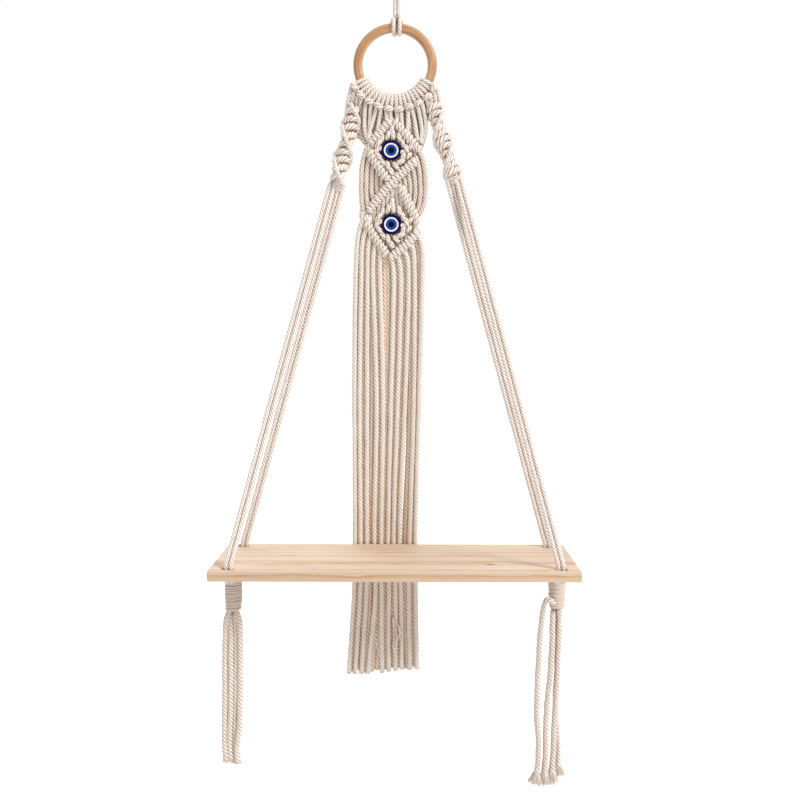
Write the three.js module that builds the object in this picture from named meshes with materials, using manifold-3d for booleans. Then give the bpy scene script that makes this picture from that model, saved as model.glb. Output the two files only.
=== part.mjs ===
// Hanging rope shelf: a pine board slung from a wooden ring by knotted cotton cord.
// Units are millimetres, +Z is up, +X is the viewer's right and +Y is the back.
// The origin is the point where the hanging loop bears on its hook.
import * as THREE from "three";
import { mergeVertices } from "three/addons/utils/BufferGeometryUtils.js";
import Module from "manifold-3d";

const wasm = await Module();
wasm.setup();

// Heights
const hookToRing = 70;
const ringToBoard = 557.5;

// Clearances
const gap = 0.3;
const pivotGap = 0.6;
const swivelGap = 0.35;
const leanTolerance = 0.12;

// Cord
const cordDiameter = 5;
const knotCordDiameter = 4.4;
const hangingCordDiameter = 4.5;
const cordSides = 8;
const knotSides = 6;
const freeStep = 42;
const bendStep = 9;
const underStep = 8;
const legStep = 18;

// Wooden ring
const ringOuterDiameter = 95;
const ringSection = 10.5;
const ringTurns = 26;
const ringSides = 8;

// Pine board
const boardLength = 400;
const boardDepth = 130;
const boardThickness = 11;
const boardEdgeRound = 0.8;
const boardForwardShift = 4;
const holeDiameter = 13;
const holeEndInset = 20;
const holeEdgeInset = 12;
const holeTurns = 12;

// Lark's heads side by side along the ring's lower arc
const headCount = 10;
const headRowStart = 204;
const headRowEnd = 333;
const headSideGap = 0.35;
const headBarReach = 10.4;
const headBarForward = 4.6;
const headSteps = 8;

// Spiral sinnets, from the ring's sides down to the long cords
const sinnetHalfWidth = 11.4;
const sinnetHalfThickness = 6.2;
const sinnetHalfTurn = 37;
const sinnetRings = 16;
const sinnetSides = 8;

// Knotted panel with its two diamonds
const panelDrop = 55.5;
const panelHalfWidth = 31;
const diamondPitch = 80;
const barRadius = 4.8;
const barValley = 4.1;
const wrapPitch = 5;
const barSides = 7;

// Eye beads and the small square knots round them
const beadDiameter = 22;
const beadThickness = 8;
const beadEdge = 2.2;
const beadForward = 1.6;
const beadTurns = 18;
const threadDiameter = 3;
const fanBump = 2.5;
const fanValley = 1.5;
const padRadius = 14.7;
const padCordDiameter = 4.4;
const padCarrierDiameter = 6.4;
const padKnotSwell = 0.5;
const padKnots = 7;
const padStepsPerKnot = 3;

// Gathering wraps and tassels under the board
const wrapCordDiameter = 3.2;
const wrapPitchHeight = 4.1;
const wrapLoops = 7.4;
const wrapSteps = 12;
const wrapTopDrop = 16;
const wrapEndInset = 17;
const bundleSpacing = 5.3;
const bundlePairSpacing = 5.3;
const tasselPivotRadius = 6;
const tasselPivotDrop = 1.2;
const pivotTurns = 24;

// Hanging cord and its hitch on the ring
const hitchHalfAngle = 7.4;
const hitchBoreRadius = 6;
const hitchNeckLength = 6;
const hangingStrandSpacing = 4.8;
const loopKnotSides = 12;
const loopHalfWidth = 7.5;
const loopKnotHeight = 12;
const loopKnotDrop = 34;
const loopKnotReach = 3.8;

// Worked-out places
const degree = Math.PI / 180;
const cordRadius = cordDiameter / 2;
const ringTube = ringSection / 2;
const ringRadius = ringOuterDiameter / 2 - ringTube;
const ringZ = -(hookToRing + ringOuterDiameter / 2);
const ringTopTubeZ = ringZ + ringRadius;
const boardTopZ = ringZ - ringToBoard;
const boardUnderZ = boardTopZ - boardThickness;
const boardY = -boardForwardShift;
const boardRearY = boardY + boardDepth / 2;
const holeX = boardLength / 2 - holeEndInset;
const wrapSideways = boardLength / 2 - wrapEndInset;
const holeY = boardDepth / 2 - holeEdgeInset;
const ropeRho = ringTube + gap + knotCordDiameter / 2;
const panelTopZ = ringZ - panelDrop;
const panelTopY = -ropeRho;
const panelFootY = boardRearY + 1.5 * gap + cordRadius;
const panelSlope = (panelFootY - panelTopY) / (panelTopZ - boardTopZ);
const wrapRadius = (Math.SQRT2 * bundleSpacing) / 2 + cordRadius + 2 * gap + wrapCordDiameter / 2;
const wrapTopZ = boardUnderZ - wrapTopDrop;
const wrapBottomZ = wrapTopZ - wrapLoops * wrapPitchHeight;
const tasselPivotZ = wrapBottomZ - wrapCordDiameter / 2 - tasselPivotDrop;
const headHalfAngle = ((headRowEnd - headRowStart) / headCount / 2) * degree;

// Materials
const finish = (color, roughness) => new THREE.MeshStandardMaterial({ color, roughness, metalness: 0 });
const cotton = finish(0xe6dacb, 0.95);
const pine = finish(0xe4cfae, 0.62);
const ringWood = finish(0xd29a62, 0.5);
const beadGlass = finish(0x0a1a8c, 0.18);

const part = new THREE.Group();

function addPiece(name, shape, material) {
  const geometry = shape.isBufferGeometry ? shape : toGeometry(shape);
  const mesh = new THREE.Mesh(geometry, material);
  mesh.name = name;
  part.add(mesh);
}

function vec(x, y, z) {
  return new THREE.Vector3(x, y, z);
}

// Solids for cutting and joining
function toSolid(geometry) {
  const bare = geometry.clone();
  bare.deleteAttribute("normal");
  bare.deleteAttribute("uv");
  const merged = mergeVertices(bare);
  const mesh = new wasm.Mesh({
    numProp: 3,
    vertProperties: new Float32Array(merged.attributes.position.array),
    triVerts: new Uint32Array(merged.index.array),
  });
  return new wasm.Manifold(mesh);
}

function toGeometry(solid) {
  const mesh = solid.getMesh();
  const geometry = new THREE.BufferGeometry();
  geometry.setAttribute("position", new THREE.BufferAttribute(new Float32Array(mesh.vertProperties), 3));
  geometry.setIndex(new THREE.BufferAttribute(new Uint32Array(mesh.triVerts), 1));
  const loose = geometry.toNonIndexed();
  loose.computeVertexNormals();
  return loose;
}

// Drops points that change the shape by less than a hair
function lean(solid) {
  return solid.simplify(leanTolerance);
}

function largestPiece(solid) {
  return solid.decompose().reduce((best, piece) => (piece.volume() > best.volume() ? piece : best));
}

function carve(solid, cutters) {
  return lean(largestPiece(cutters.reduce((rest, cutter) => rest.subtract(cutter), solid)));
}

function join(solids) {
  return lean(solids.reduce((whole, solid) => whole.add(solid)));
}

// A closed skin over rings of points, with a fan over each end unless the rings close on themselves
function skin(rings, closed) {
  const sides = rings[0].length;
  const positions = rings.flat().flatMap((point) => [point.x, point.y, point.z]);
  const faces = [];
  const spans = closed ? rings.length : rings.length - 1;
  for (let i = 0; i < spans; i += 1) {
    const next = (i + 1) % rings.length;
    for (let j = 0; j < sides; j += 1) {
      const k = (j + 1) % sides;
      faces.push([i * sides + j, i * sides + k, next * sides + k]);
      faces.push([i * sides + j, next * sides + k, next * sides + j]);
    }
  }
  if (!closed) {
    [0, rings.length - 1].forEach((end) => {
      const middle = rings[end].reduce((sum, point) => sum.add(point), vec(0, 0, 0));
      middle.divideScalar(sides);
      const centre = positions.length / 3;
      positions.push(middle.x, middle.y, middle.z);
      for (let j = 0; j < sides; j += 1) {
        const pair = [end * sides + j, end * sides + ((j + 1) % sides)];
        faces.push(end === 0 ? [centre, pair[1], pair[0]] : [centre, pair[0], pair[1]]);
      }
    });
  }
  const build = (list) => {
    const geometry = new THREE.BufferGeometry();
    geometry.setAttribute("position", new THREE.Float32BufferAttribute(positions, 3));
    geometry.setIndex(list.flat());
    return toSolid(geometry);
  };
  const solid = build(faces);
  return solid.volume() > 0 ? solid : build(faces.map(([a, b, c]) => [a, c, b]));
}

// A plain cord along hand-chosen points
function cord(points, diameter, sides, step) {
  const path = new THREE.CatmullRomCurve3(points, false, "centripetal");
  const steps = Math.max(2, Math.round(path.getLength() / step));
  const section = new THREE.Shape();
  for (let i = 0; i < sides; i += 1) {
    const angle = (i / sides) * 2 * Math.PI;
    const at = [(diameter / 2) * Math.cos(angle), (diameter / 2) * Math.sin(angle)];
    if (i === 0) section.moveTo(...at);
    else section.lineTo(...at);
  }
  section.closePath();
  const settings = { steps, extrudePath: path, bevelEnabled: false };
  return toSolid(new THREE.ExtrudeGeometry(section, settings));
}

// A rod along X, for the round joint that a tassel swings on
function crossRod(x, y, z, radius, length) {
  const rod = new THREE.CylinderGeometry(radius, radius, length, pivotTurns);
  rod.rotateZ(Math.PI / 2);
  rod.translate(x, y, z);
  return toSolid(rod);
}

// Places round the ring: psi along it, phi round its section from the outside, rho from its centre line
function roundRing(psi, phi, rho) {
  const reach = ringRadius + rho * Math.cos(phi);
  return vec(reach * Math.cos(psi), rho * Math.sin(phi), ringZ + reach * Math.sin(psi));
}

// A place given as shares of the ring's radius from its centre
function byRing([x, y, z]) {
  return vec(x * ringRadius, y * ringRadius, ringZ + z * ringRadius);
}

// Wooden ring: its section has flats front, back, inside and outside
function woodRing() {
  const rings = [];
  for (let i = 0; i < ringTurns; i += 1) {
    const psi = (i / ringTurns) * 2 * Math.PI;
    const ring = [];
    for (let j = 0; j < ringSides; j += 1) {
      const phi = ((j + 0.5) / ringSides) * 2 * Math.PI;
      ring.push(roundRing(psi, phi, ringTube / Math.cos(Math.PI / ringSides)));
    }
    rings.push(ring);
  }
  return skin(rings, true);
}

// Two turns of cord lying side by side round the ring: [sideways, height] shares of their section
const bandShares = [
  [-1, 0.4],
  [-0.6, 1],
  [0, 0.6],
  [0.6, 1],
  [1, 0.4],
  [0.75, 0],
  [-0.75, 0],
];

function ringBand(psi, halfAngle, innerRho, sideGap) {
  const rings = [];
  for (let i = 0; i < headSteps; i += 1) {
    const phi = ((i + 0.5) / headSteps) * 2 * Math.PI;
    const squeeze = innerRho / Math.cos(Math.PI / headSteps);
    rings.push(bandShares.map(([side, height]) => {
      const rho = squeeze + knotCordDiameter * height;
      const reach = ringRadius + rho * Math.cos(phi);
      return roundRing(psi + side * (halfAngle - sideGap / 2 / reach), phi, rho);
    }));
  }
  return skin(rings, true);
}

// A point near the ring, sideways along it and outwards from its centre line
function headPlace(psi, sideways, outwards, y) {
  const reach = ringRadius + outwards;
  const turn = sideways / reach;
  return vec(reach * Math.cos(psi + turn), y, ringZ + reach * Math.sin(psi + turn));
}

function larksHead(psi, legTargets) {
  const half = headHalfAngle * ringRadius - knotCordDiameter / 2;
  const front = -ropeRho;
  const bar = cord([
    headPlace(psi, -half, ropeRho - cordRadius, front),
    headPlace(psi, -half, headBarReach, front - cordRadius),
    headPlace(psi, -half / 2, headBarReach, front - headBarForward),
    headPlace(psi, half / 2, headBarReach, front - headBarForward),
    headPlace(psi, half, headBarReach, front - cordRadius),
    headPlace(psi, half, ropeRho - cordRadius, front),
  ], knotCordDiameter, knotSides, 1.7 * cordDiameter);
  const legs = legTargets.map((points, i) => {
    const side = (i - 0.5) * knotCordDiameter;
    const start = [headPlace(psi, side, cordDiameter, front), headPlace(psi, side, headBarReach, front)];
    return cord([...start, ...points.map(byRing)], knotCordDiameter, knotSides, legStep);
  });
  return join([ringBand(psi, headHalfAngle, ringTube + gap, headSideGap), bar, ...legs]);
}

// Panel plane: it leans back from the ring to the board's rear edge and hangs straight below it
function panelY(z) {
  return z < boardTopZ ? panelFootY : panelTopY + (panelTopZ - z) * panelSlope;
}

function panelPoint([acrossShare, downShare]) {
  const z = panelTopZ - downShare * diamondPitch;
  return vec(acrossShare * panelHalfWidth, panelY(z), z);
}

// Diagonal bars of double half hitches: [across, down] shares of the panel's half width and pitch
const barShares = {
  crossing_bar: [[0.806, 0.64], [-0.12, 0.965], [-1, 1.37]],
  upper_diamond_top_left_bar: [[-0.12, 0.085], [-0.894, 0.43]],
  upper_diamond_top_right_bar: [[-0.08, 0.09], [0.877, 0.52]],
  upper_diamond_bottom_left_bar: [[-0.935, 0.57], [-0.26, 0.92]],
  lower_diamond_top_right_bar: [[0.165, 1.01], [0.845, 1.53]],
  lower_diamond_bottom_left_bar: [[-1.13, 1.5], [-0.31, 1.99]],
  lower_diamond_bottom_right_bar: [[0.955, 1.69], [-0.2, 2.03]],
};

function hitchBar(shares) {
  const path = new THREE.CatmullRomCurve3(shares.map(panelPoint), false, "centripetal");
  const wraps = Math.round(path.getLength() / wrapPitch);
  const last = 2 * wraps;
  const rings = [];
  for (let i = 0; i <= last; i += 1) {
    const along = path.getTangentAt(i / last);
    const side = along.clone().cross(vec(0, -1, 0)).normalize();
    const lift = side.clone().cross(along).normalize();
    const radius = i % 2 === 0 ? barValley : barRadius;
    const middle = path.getPointAt(i / last);
    const ring = [];
    for (let j = 0; j < barSides; j += 1) {
      const angle = (j / barSides) * 2 * Math.PI;
      const point = middle.clone().addScaledVector(side, radius * Math.cos(angle));
      ring.push(point.addScaledVector(lift, radius * Math.sin(angle)));
    }
    rings.push(ring);
  }
  return skin(rings, false);
}

// Plain sleeve round a bar: it cuts what ends against the bar
function barSleeve(shares, extra) {
  const path = new THREE.CatmullRomCurve3(shares.map(panelPoint), false, "centripetal");
  const count = shares.length * 2 - 1;
  const rings = [];
  for (let i = 0; i < count; i += 1) {
    const along = path.getTangentAt(i / (count - 1));
    const side = along.clone().cross(vec(0, -1, 0)).normalize();
    const lift = side.clone().cross(along).normalize();
    const middle = path.getPointAt(i / (count - 1));
    if (i === 0) middle.addScaledVector(along, -extra);
    if (i === count - 1) middle.addScaledVector(along, extra);
    const ring = [];
    for (let j = 0; j < barSides; j += 1) {
      const angle = (j / barSides) * 2 * Math.PI;
      const point = middle.clone().addScaledVector(side, (barRadius + extra) * Math.cos(angle));
      ring.push(point.addScaledVector(lift, (barRadius + extra) * Math.sin(angle)));
    }
    rings.push(ring);
  }
  return skin(rings, false);
}

const barNames = Object.keys(barShares);
const barCutters = barNames.map((name) => barSleeve(barShares[name], gap));
const pivotCutters = barNames.map((name) => barSleeve(barShares[name], pivotGap));

// Heights on the two strands, then [across, down] on the loop, down as shares of the hook's drop
const strandShares = [0.714, 0.543, 0.4];
const loopShares = [[1, 0.186], [0.75, 0.046]];

// Hanging cord: the loop on the hook, then two strands down to the hitch on the ring
function hangingCord(extra) {
  const half = hangingStrandSpacing / 2;
  const foot = ringTopTubeZ + hitchBoreRadius + knotCordDiameter + hitchNeckLength + gap;
  const side = (sign) => [
    vec(sign * half, 0, foot),
    ...strandShares.map((share) => vec(sign * half, 0, -share * hookToRing)),
    ...loopShares.map(([across, down]) => vec(sign * across * loopHalfWidth, 0, -down * hookToRing)),
  ];
  const points = [...side(-1), vec(0, 0, hangingCordDiameter / 2), ...side(1).reverse()];
  return cord(points, hangingCordDiameter + 2 * extra, cordSides, bendStep);
}

// Knot of the loop: three plump turns round both strands
function loopKnot(strands) {
  const rings = [];
  const turnShares = [-1, -0.82, -0.56, -0.34, -0.1, 0.12, 0.36, 0.6, 0.84, 1];
  const swellShares = [0.72, 0.98, 1, 0.82, 1.04, 1.02, 0.84, 1, 0.97, 0.7];
  turnShares.forEach((share, i) => {
    const ring = [];
    for (let j = 0; j < loopKnotSides; j += 1) {
      const angle = (j / loopKnotSides) * 2 * Math.PI;
      const x = hangingStrandSpacing / 2 + hangingCordDiameter / 2 + loopKnotReach;
      const y = hangingCordDiameter / 2 + loopKnotReach;
      ring.push(vec(
        x * swellShares[i] * Math.cos(angle),
        y * swellShares[i] * Math.sin(angle),
        -loopKnotDrop + (share * loopKnotHeight) / 2,
      ));
    }
    rings.push(ring);
  });
  return carve(skin(rings, false), strands);
}

// Hitch of the hanging cord round the ring's top, its bar at the back and a short neck above
function hangingHitch() {
  const half = hangingStrandSpacing / 2;
  const outer = hitchBoreRadius + knotCordDiameter;
  const neckTop = ringTopTubeZ + outer + hitchNeckLength;
  const strand = (x) => cord([
    vec(x, -hitchBoreRadius - cordRadius, ringTopTubeZ),
    vec(x, -hitchBoreRadius - cordRadius, ringTopTubeZ + hitchBoreRadius),
    vec(x, -cordRadius, ringTopTubeZ + outer + cordRadius),
    vec(x, 0, neckTop - hitchNeckLength / 2),
    vec(x, 0, neckTop),
  ], hangingCordDiameter, cordSides, bendStep);
  const back = cord([
    vec(-half - cordRadius, hitchBoreRadius + cordRadius, ringTopTubeZ),
    vec(-half, hitchBoreRadius + cordDiameter, ringTopTubeZ + cordDiameter),
    vec(half, hitchBoreRadius + cordDiameter, ringTopTubeZ + cordDiameter),
    vec(half + cordRadius, hitchBoreRadius + cordRadius, ringTopTubeZ),
  ], knotCordDiameter, knotSides, cordDiameter);
  const band = ringBand(Math.PI / 2, hitchHalfAngle * degree, hitchBoreRadius, gap);
  const bore = crossRod(0, 0, ringTopTubeZ, hitchBoreRadius, ringSection * 2);
  return join([band, strand(-half), strand(half), back]).subtract(bore);
}

// Places where the legs of each lark's head run to, left to right, as shares of the ring's radius
const legShares = [
  [[[-1.207, -0.189, -0.817], [-1.266, -0.142, -1.077]],
    [[-1.093, -0.201, -0.876], [-1.15, -0.142, -1.077]]],
  [[[-1.008, -0.201, -0.959], [-1.039, -0.142, -1.089]],
    [[-0.899, -0.213, -0.982], [-0.928, -0.142, -1.089]]],
  [[[-0.781, -0.213, -1.124], [-0.859, -0.142, -1.503], [-0.805, -0.083, -1.953], [-0.734, -0.083, -2.095]],
    [[-0.639, -0.213, -1.148], [-0.634, -0.13, -1.55], [-0.592, -0.118, -2]]],
  [[[-0.485, -0.213, -1.243], [-0.462, -0.166, -1.811]],
    [[-0.379, -0.213, -1.266], [-0.336, -0.166, -1.716]]],
  [[[-0.225, -0.213, -1.314], [-0.213, -0.178, -1.574]],
    [[-0.118, -0.213, -1.314], [-0.095, -0.178, -1.574]]],
  [[[0.057, -0.213, -1.314], [0.062, -0.178, -1.574]],
    [[0.166, -0.213, -1.314], [0.201, -0.166, -1.716]]],
  [[[0.343, -0.213, -1.266], [0.336, -0.166, -1.858]],
    [[0.454, -0.213, -1.243], [0.464, -0.13, -2]]],
  [[[0.606, -0.213, -1.16], [0.601, -0.13, -1.716], [0.578, -0.118, -2.142]],
    [[0.72, -0.213, -1.101], [0.772, -0.118, -1.598], [0.746, -0.059, -2.095], [0.686, -0.047, -2.26]]],
  [[[0.843, -0.201, -0.959], [0.864, -0.166, -1.067]],
    [[0.947, -0.201, -0.911], [0.98, -0.166, -1.067]]],
  [[[1.046, -0.201, -0.828], [1.093, -0.166, -1.053]],
    [[1.136, -0.189, -0.769], [1.202, -0.166, -1.053]]],
];

// Spiral sinnets: a flat section that turns half round about every bulge. Shares of the ring's radius
const sinnetShares = {
  left: {
    line: [
      [-1.136, -0.13, -1.148], [-1.183, -0.118, -1.633], [-1.399, -0.095, -2.521],
      [-1.553, -0.08, -3.136], [-1.562, -0.071, -3.349],
    ],
    wide: -1.633,
    hand: 1,
  },
  right: {
    line: [
      [1.032, -0.142, -1.124], [1.103, -0.13, -1.385], [1.276, -0.109, -2.057],
      [1.524, -0.08, -2.805], [1.562, -0.071, -3.16],
    ],
    wide: -2.057,
    hand: -1,
  },
};

function spiralSinnet(side, { line, wide, hand }) {
  const path = new THREE.CatmullRomCurve3(line.map(byRing), false, "centripetal");
  const wideZ = ringZ + wide * ringRadius;
  const rings = [];
  for (let i = 0; i < sinnetRings; i += 1) {
    const t = i / (sinnetRings - 1);
    const middle = path.getPointAt(t);
    const along = path.getTangentAt(t);
    const across = vec(0, -1, 0).cross(along).normalize();
    const lift = across.clone().cross(along).normalize();
    const twist = hand * ((wideZ - middle.z) / sinnetHalfTurn) * Math.PI;
    const taper = i === 0 || i === sinnetRings - 1 ? 0.9 : 1;
    const ring = [];
    for (let j = 0; j < sinnetSides; j += 1) {
      const angle = (j / sinnetSides) * 2 * Math.PI;
      const broad = taper * sinnetHalfWidth * Math.cos(angle);
      const thin = taper * sinnetHalfThickness * Math.sin(angle);
      const point = middle.clone();
      point.addScaledVector(across, broad * Math.cos(twist) - thin * Math.sin(twist));
      point.addScaledVector(lift, broad * Math.sin(twist) + thin * Math.cos(twist));
      ring.push(point);
    }
    rings.push(ring);
  }
  return skin(rings, false).trimByPlane([0, 0, 1], sideStart(side).z + gap);
}

// Side cords: four on each side, two through the front hole and two through the rear one
const sideStartShares = {
  left: [-1.561, -0.071, -3.292],
  right: [1.561, -0.071, -3.084],
};
const sideStartPlaces = [1.5, 0.5, -0.5, -1.5];

function sideStart(side) {
  return byRing(sideStartShares[side]);
}

// Route under the board, as shares of the cord: back from the hole and down, then out and down
const leaveShares = [[0.6, 0.12], [1.8, 0.4]];
const gatherShares = [[3, 0.56], [1.28, 0.92]];

function sideCord(side, pair, place) {
  const sign = side === "left" ? -1 : 1;
  const front = pair === "front" ? -1 : 1;
  const outer = place === 0 ? 0.5 : -0.5;
  const start = sideStart(side);
  const startPlace = sideStartPlaces[(pair === "front" ? 0 : 2) + place];
  const top = vec(start.x + sign * startPlace * bundlePairSpacing, start.y, start.z + cordDiameter);
  const x = sign * (holeX + outer * bundlePairSpacing);
  const bundleX = sign * (wrapSideways + outer * bundleSpacing);
  const y = boardY + front * holeY;
  const bundleY = boardY + (front * bundleSpacing) / 2;
  const under = boardUnderZ - cordRadius;
  const entry = vec(x, y, boardTopZ + cordDiameter);
  const scaled = (shares) => shares.map((pair) => pair.map((share) => share * cordDiameter));
  const bend = new THREE.CatmullRomCurve3([
    entry,
    vec(x, y, boardUnderZ + cordRadius),
    ...scaled(leaveShares).map(([back, down]) => vec(x, y - front * back, under - down)),
    ...scaled(gatherShares).map(([out, down]) => vec(bundleX, boardY + front * out, under - down)),
    vec(bundleX, bundleY, wrapTopZ + cordDiameter),
    vec(bundleX, bundleY, wrapTopZ - cordRadius),
  ], false, "centripetal");
  const stations = [
    top,
    top.clone().lerp(entry, 0.5),
    ...bend.getSpacedPoints(Math.round(bend.getLength() / underStep)),
    vec(bundleX, bundleY, tasselPivotZ - tasselPivotRadius - cordDiameter),
  ];
  return tubeAlong(stations, cordDiameter, cordSides).trimByPlane([0, 0, -1], -(start.z - gap));
}

// Gathering wrap: one unbroken tube round the four cords
function wrapKnot(sign) {
  const points = [];
  const steps = Math.round(wrapLoops * wrapSteps);
  const x = sign * wrapSideways;
  for (let i = 0; i <= steps; i += 1) {
    const angle = (i / wrapSteps) * 2 * Math.PI + Math.PI / 4;
    points.push(vec(
      x + wrapRadius * Math.sin(angle),
      boardY + wrapRadius * Math.cos(angle),
      wrapTopZ - wrapCordDiameter / 2 - (i / wrapSteps) * wrapPitchHeight + wrapPitchHeight / 2,
    ));
  }
  const tangent = (a, b) => a.clone().sub(b).normalize().multiplyScalar(wrapCordDiameter).add(a);
  points.unshift(tangent(points[0], points[1]));
  points.push(tangent(points[points.length - 1], points[points.length - 2]));
  return points;
}

function leastSelfGap(points) {
  let least = Infinity;
  points.forEach((a, i) => {
    for (let j = i + Math.round(wrapSteps / 2); j < points.length; j += 1) {
      least = Math.min(least, a.distanceTo(points[j]));
    }
  });
  return least - wrapCordDiameter;
}

function tubeAlong(points, diameter, sides) {
  const rings = [];
  let side = null;
  points.forEach((point, i) => {
    const before = points[Math.max(i - 1, 0)];
    const after = points[Math.min(i + 1, points.length - 1)];
    const along = after.clone().sub(before).normalize();
    side = side ? side.addScaledVector(along, -side.dot(along)) : vec(0, 0, 1).cross(along);
    side.normalize();
    const lift = along.clone().cross(side);
    const ring = [];
    for (let j = 0; j < sides; j += 1) {
      const angle = (j / sides) * 2 * Math.PI;
      const at = point.clone().addScaledVector(side, (diameter / 2) * Math.cos(angle));
      ring.push(at.addScaledVector(lift, (diameter / 2) * Math.sin(angle)));
    }
    rings.push(ring);
  });
  return skin(rings, false);
}

// Tails under the wraps: [aside of the wrap, back, down from the pivot] places of each one
const tails = {
  left_tail_1: [
    [-4.5, -2.6, 9.9], [-12, -4, 26.9], [-13, -5, 64.9],
    [-9, -4, 124.9], [-10.6, -4, 177.9],
  ],
  left_tail_2: [[2.6, -2.7, 9.9], [-1, -4.5, 34.9], [-1.5, -5, 94.9], [-2.2, -5, 177.9]],
  left_tail_3: [[3.2, 2.7, 9.9], [5.4, 2, 32.9], [5.6, 2, 114.9], [6.4, 1, 149.9], [4, 0.4, 180.9]],
  left_tail_4: [[-3.2, 2.7, 9.9], [-5, 3.4, 34.9], [-6.5, 4, 94.9], [-6.4, 4, 169.9]],
  right_tail_1: [
    [-4.4, -2.6, 9.9], [-13.5, -4.6, 26.9], [-15.2, -5, 54.9], [-19.5, -4, 112.9],
    [-19.4, -4, 150.9], [-20.4, -4, 196.9],
  ],
  right_tail_2: [[-1.4, 2.7, 9.9], [-3.4, 1, 34.9], [-5, 0, 104.9], [-8.5, -1, 144.9], [-7, -1, 196.9]],
  right_tail_3: [[3.6, -2.6, 9.9], [4.4, -3, 34.9], [2.6, -3, 124.9], [4, -3, 190.9]],
  right_tail_4: [[4, 2.7, 9.9], [2.5, 5.5, 34.9], [-1.5, 8, 94.9], [-2.5, 8, 179.9]],
};
const tailPlaces = {
  left_tail_1: [-1, -1],
  left_tail_2: [1, -1],
  left_tail_3: [1, 1],
  left_tail_4: [-1, 1],
  right_tail_1: [-1, -1],
  right_tail_2: [-1, 1],
  right_tail_3: [1, -1],
  right_tail_4: [1, 1],
};

function tail(name) {
  const sign = name.startsWith("left") ? -1 : 1;
  const [across, back] = tailPlaces[name];
  const x = sign * wrapSideways + (across * bundleSpacing) / 2;
  const y = boardY + (back * bundleSpacing) / 2;
  const top = [vec(x, y, tasselPivotZ), vec(x, y, tasselPivotZ - cordDiameter)];
  const hung = tails[name].map(([aside, behind, down]) => (
    vec(sign * wrapSideways + aside, boardY + behind, tasselPivotZ - down)
  ));
  const solid = cord([...top, ...hung], cordDiameter, cordSides, 2.4 * bendStep);
  const reach = tasselPivotRadius + swivelGap;
  const rod = crossRod(sign * wrapSideways, boardY, tasselPivotZ, reach, cordDiameter * 5);
  return carve(solid, [rod]);
}

// Eye bead: a round lens with a bore for its thread
const beadShares = { upper: [-0.139, 0.5225], lower: [-0.139, 1.5525] };
const carrierShares = { upper: [-1.84, 2.3], lower: [-3, 2.45] };

function beadPlace(name) {
  return panelPoint(beadShares[name]).sub(vec(0, beadForward, 0));
}

const panelDown = vec(0, panelSlope, -1).normalize();

function alongPanel(centre, x, down, forward) {
  const out = vec(0, -1, -panelSlope).normalize();
  const point = centre.clone().addScaledVector(panelDown, down).addScaledVector(out, forward);
  point.x += x;
  return point;
}

function eyeBead(name) {
  const half = beadThickness / 2;
  const radius = beadDiameter / 2;
  const outline = [
    [0, -half],
    [radius - beadEdge, -half],
    [radius - beadEdge * 0.3, -half + beadEdge * 0.5],
    [radius, 0],
    [radius - beadEdge * 0.3, half - beadEdge * 0.5],
    [radius - beadEdge, half],
    [0, half],
  ].map(([x, y]) => new THREE.Vector2(x, y));
  const lens = new THREE.LatheGeometry(outline, beadTurns);
  const tilt = Math.atan(panelSlope);
  lens.rotateX(tilt);
  const centre = beadPlace(name);
  lens.translate(centre.x, centre.y, centre.z);
  const bore = cord(
    [alongPanel(centre, 0, -beadDiameter, 0), alongPanel(centre, 0, beadDiameter, 0)],
    threadDiameter + 2 * gap,
    cordSides,
    beadDiameter * 2,
  );
  const solid = toSolid(lens);
  return (solid.volume() > 0 ? solid : toSolid(lens.scale(-1, 1, 1))).subtract(bore);
}

// Pad: a ring of small square knots round the bead, its thread, and cords up and down to the bars
function beadPad(name) {
  const centre = beadPlace(name);
  const rings = [];
  const count = padKnots * padStepsPerKnot;
  for (let i = 0; i < count; i += 1) {
    const angle = (i / count) * 2 * Math.PI;
    const swell = padKnotSwell * Math.cos((i / padStepsPerKnot) * 2 * Math.PI);
    const radius = padCordDiameter / 2 + swell - padKnotSwell / 2;
    const ring = [];
    for (let j = 0; j < knotSides; j += 1) {
      const turn = (j / knotSides) * 2 * Math.PI;
      const reach = padRadius + radius * Math.cos(turn);
      const up = reach * Math.cos(angle);
      ring.push(alongPanel(centre, reach * Math.sin(angle), -up, radius * Math.sin(turn)));
    }
    rings.push(ring);
  }
  const thread = cord(
    [alongPanel(centre, 0, -padRadius, 0), alongPanel(centre, 0, padRadius, 0)],
    threadDiameter,
    knotSides,
    padRadius * 4,
  );
  const carriers = carrierShares[name].map((share) => cord(
    [alongPanel(centre, 0, Math.sign(share) * padRadius, 0), alongPanel(centre, 0, share * padRadius, 0)],
    padCarrierDiameter,
    knotSides,
    padRadius * 4,
  ));
  return carve(join([skin(rings, true), thread, ...carriers]), barCutters);
}

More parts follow.
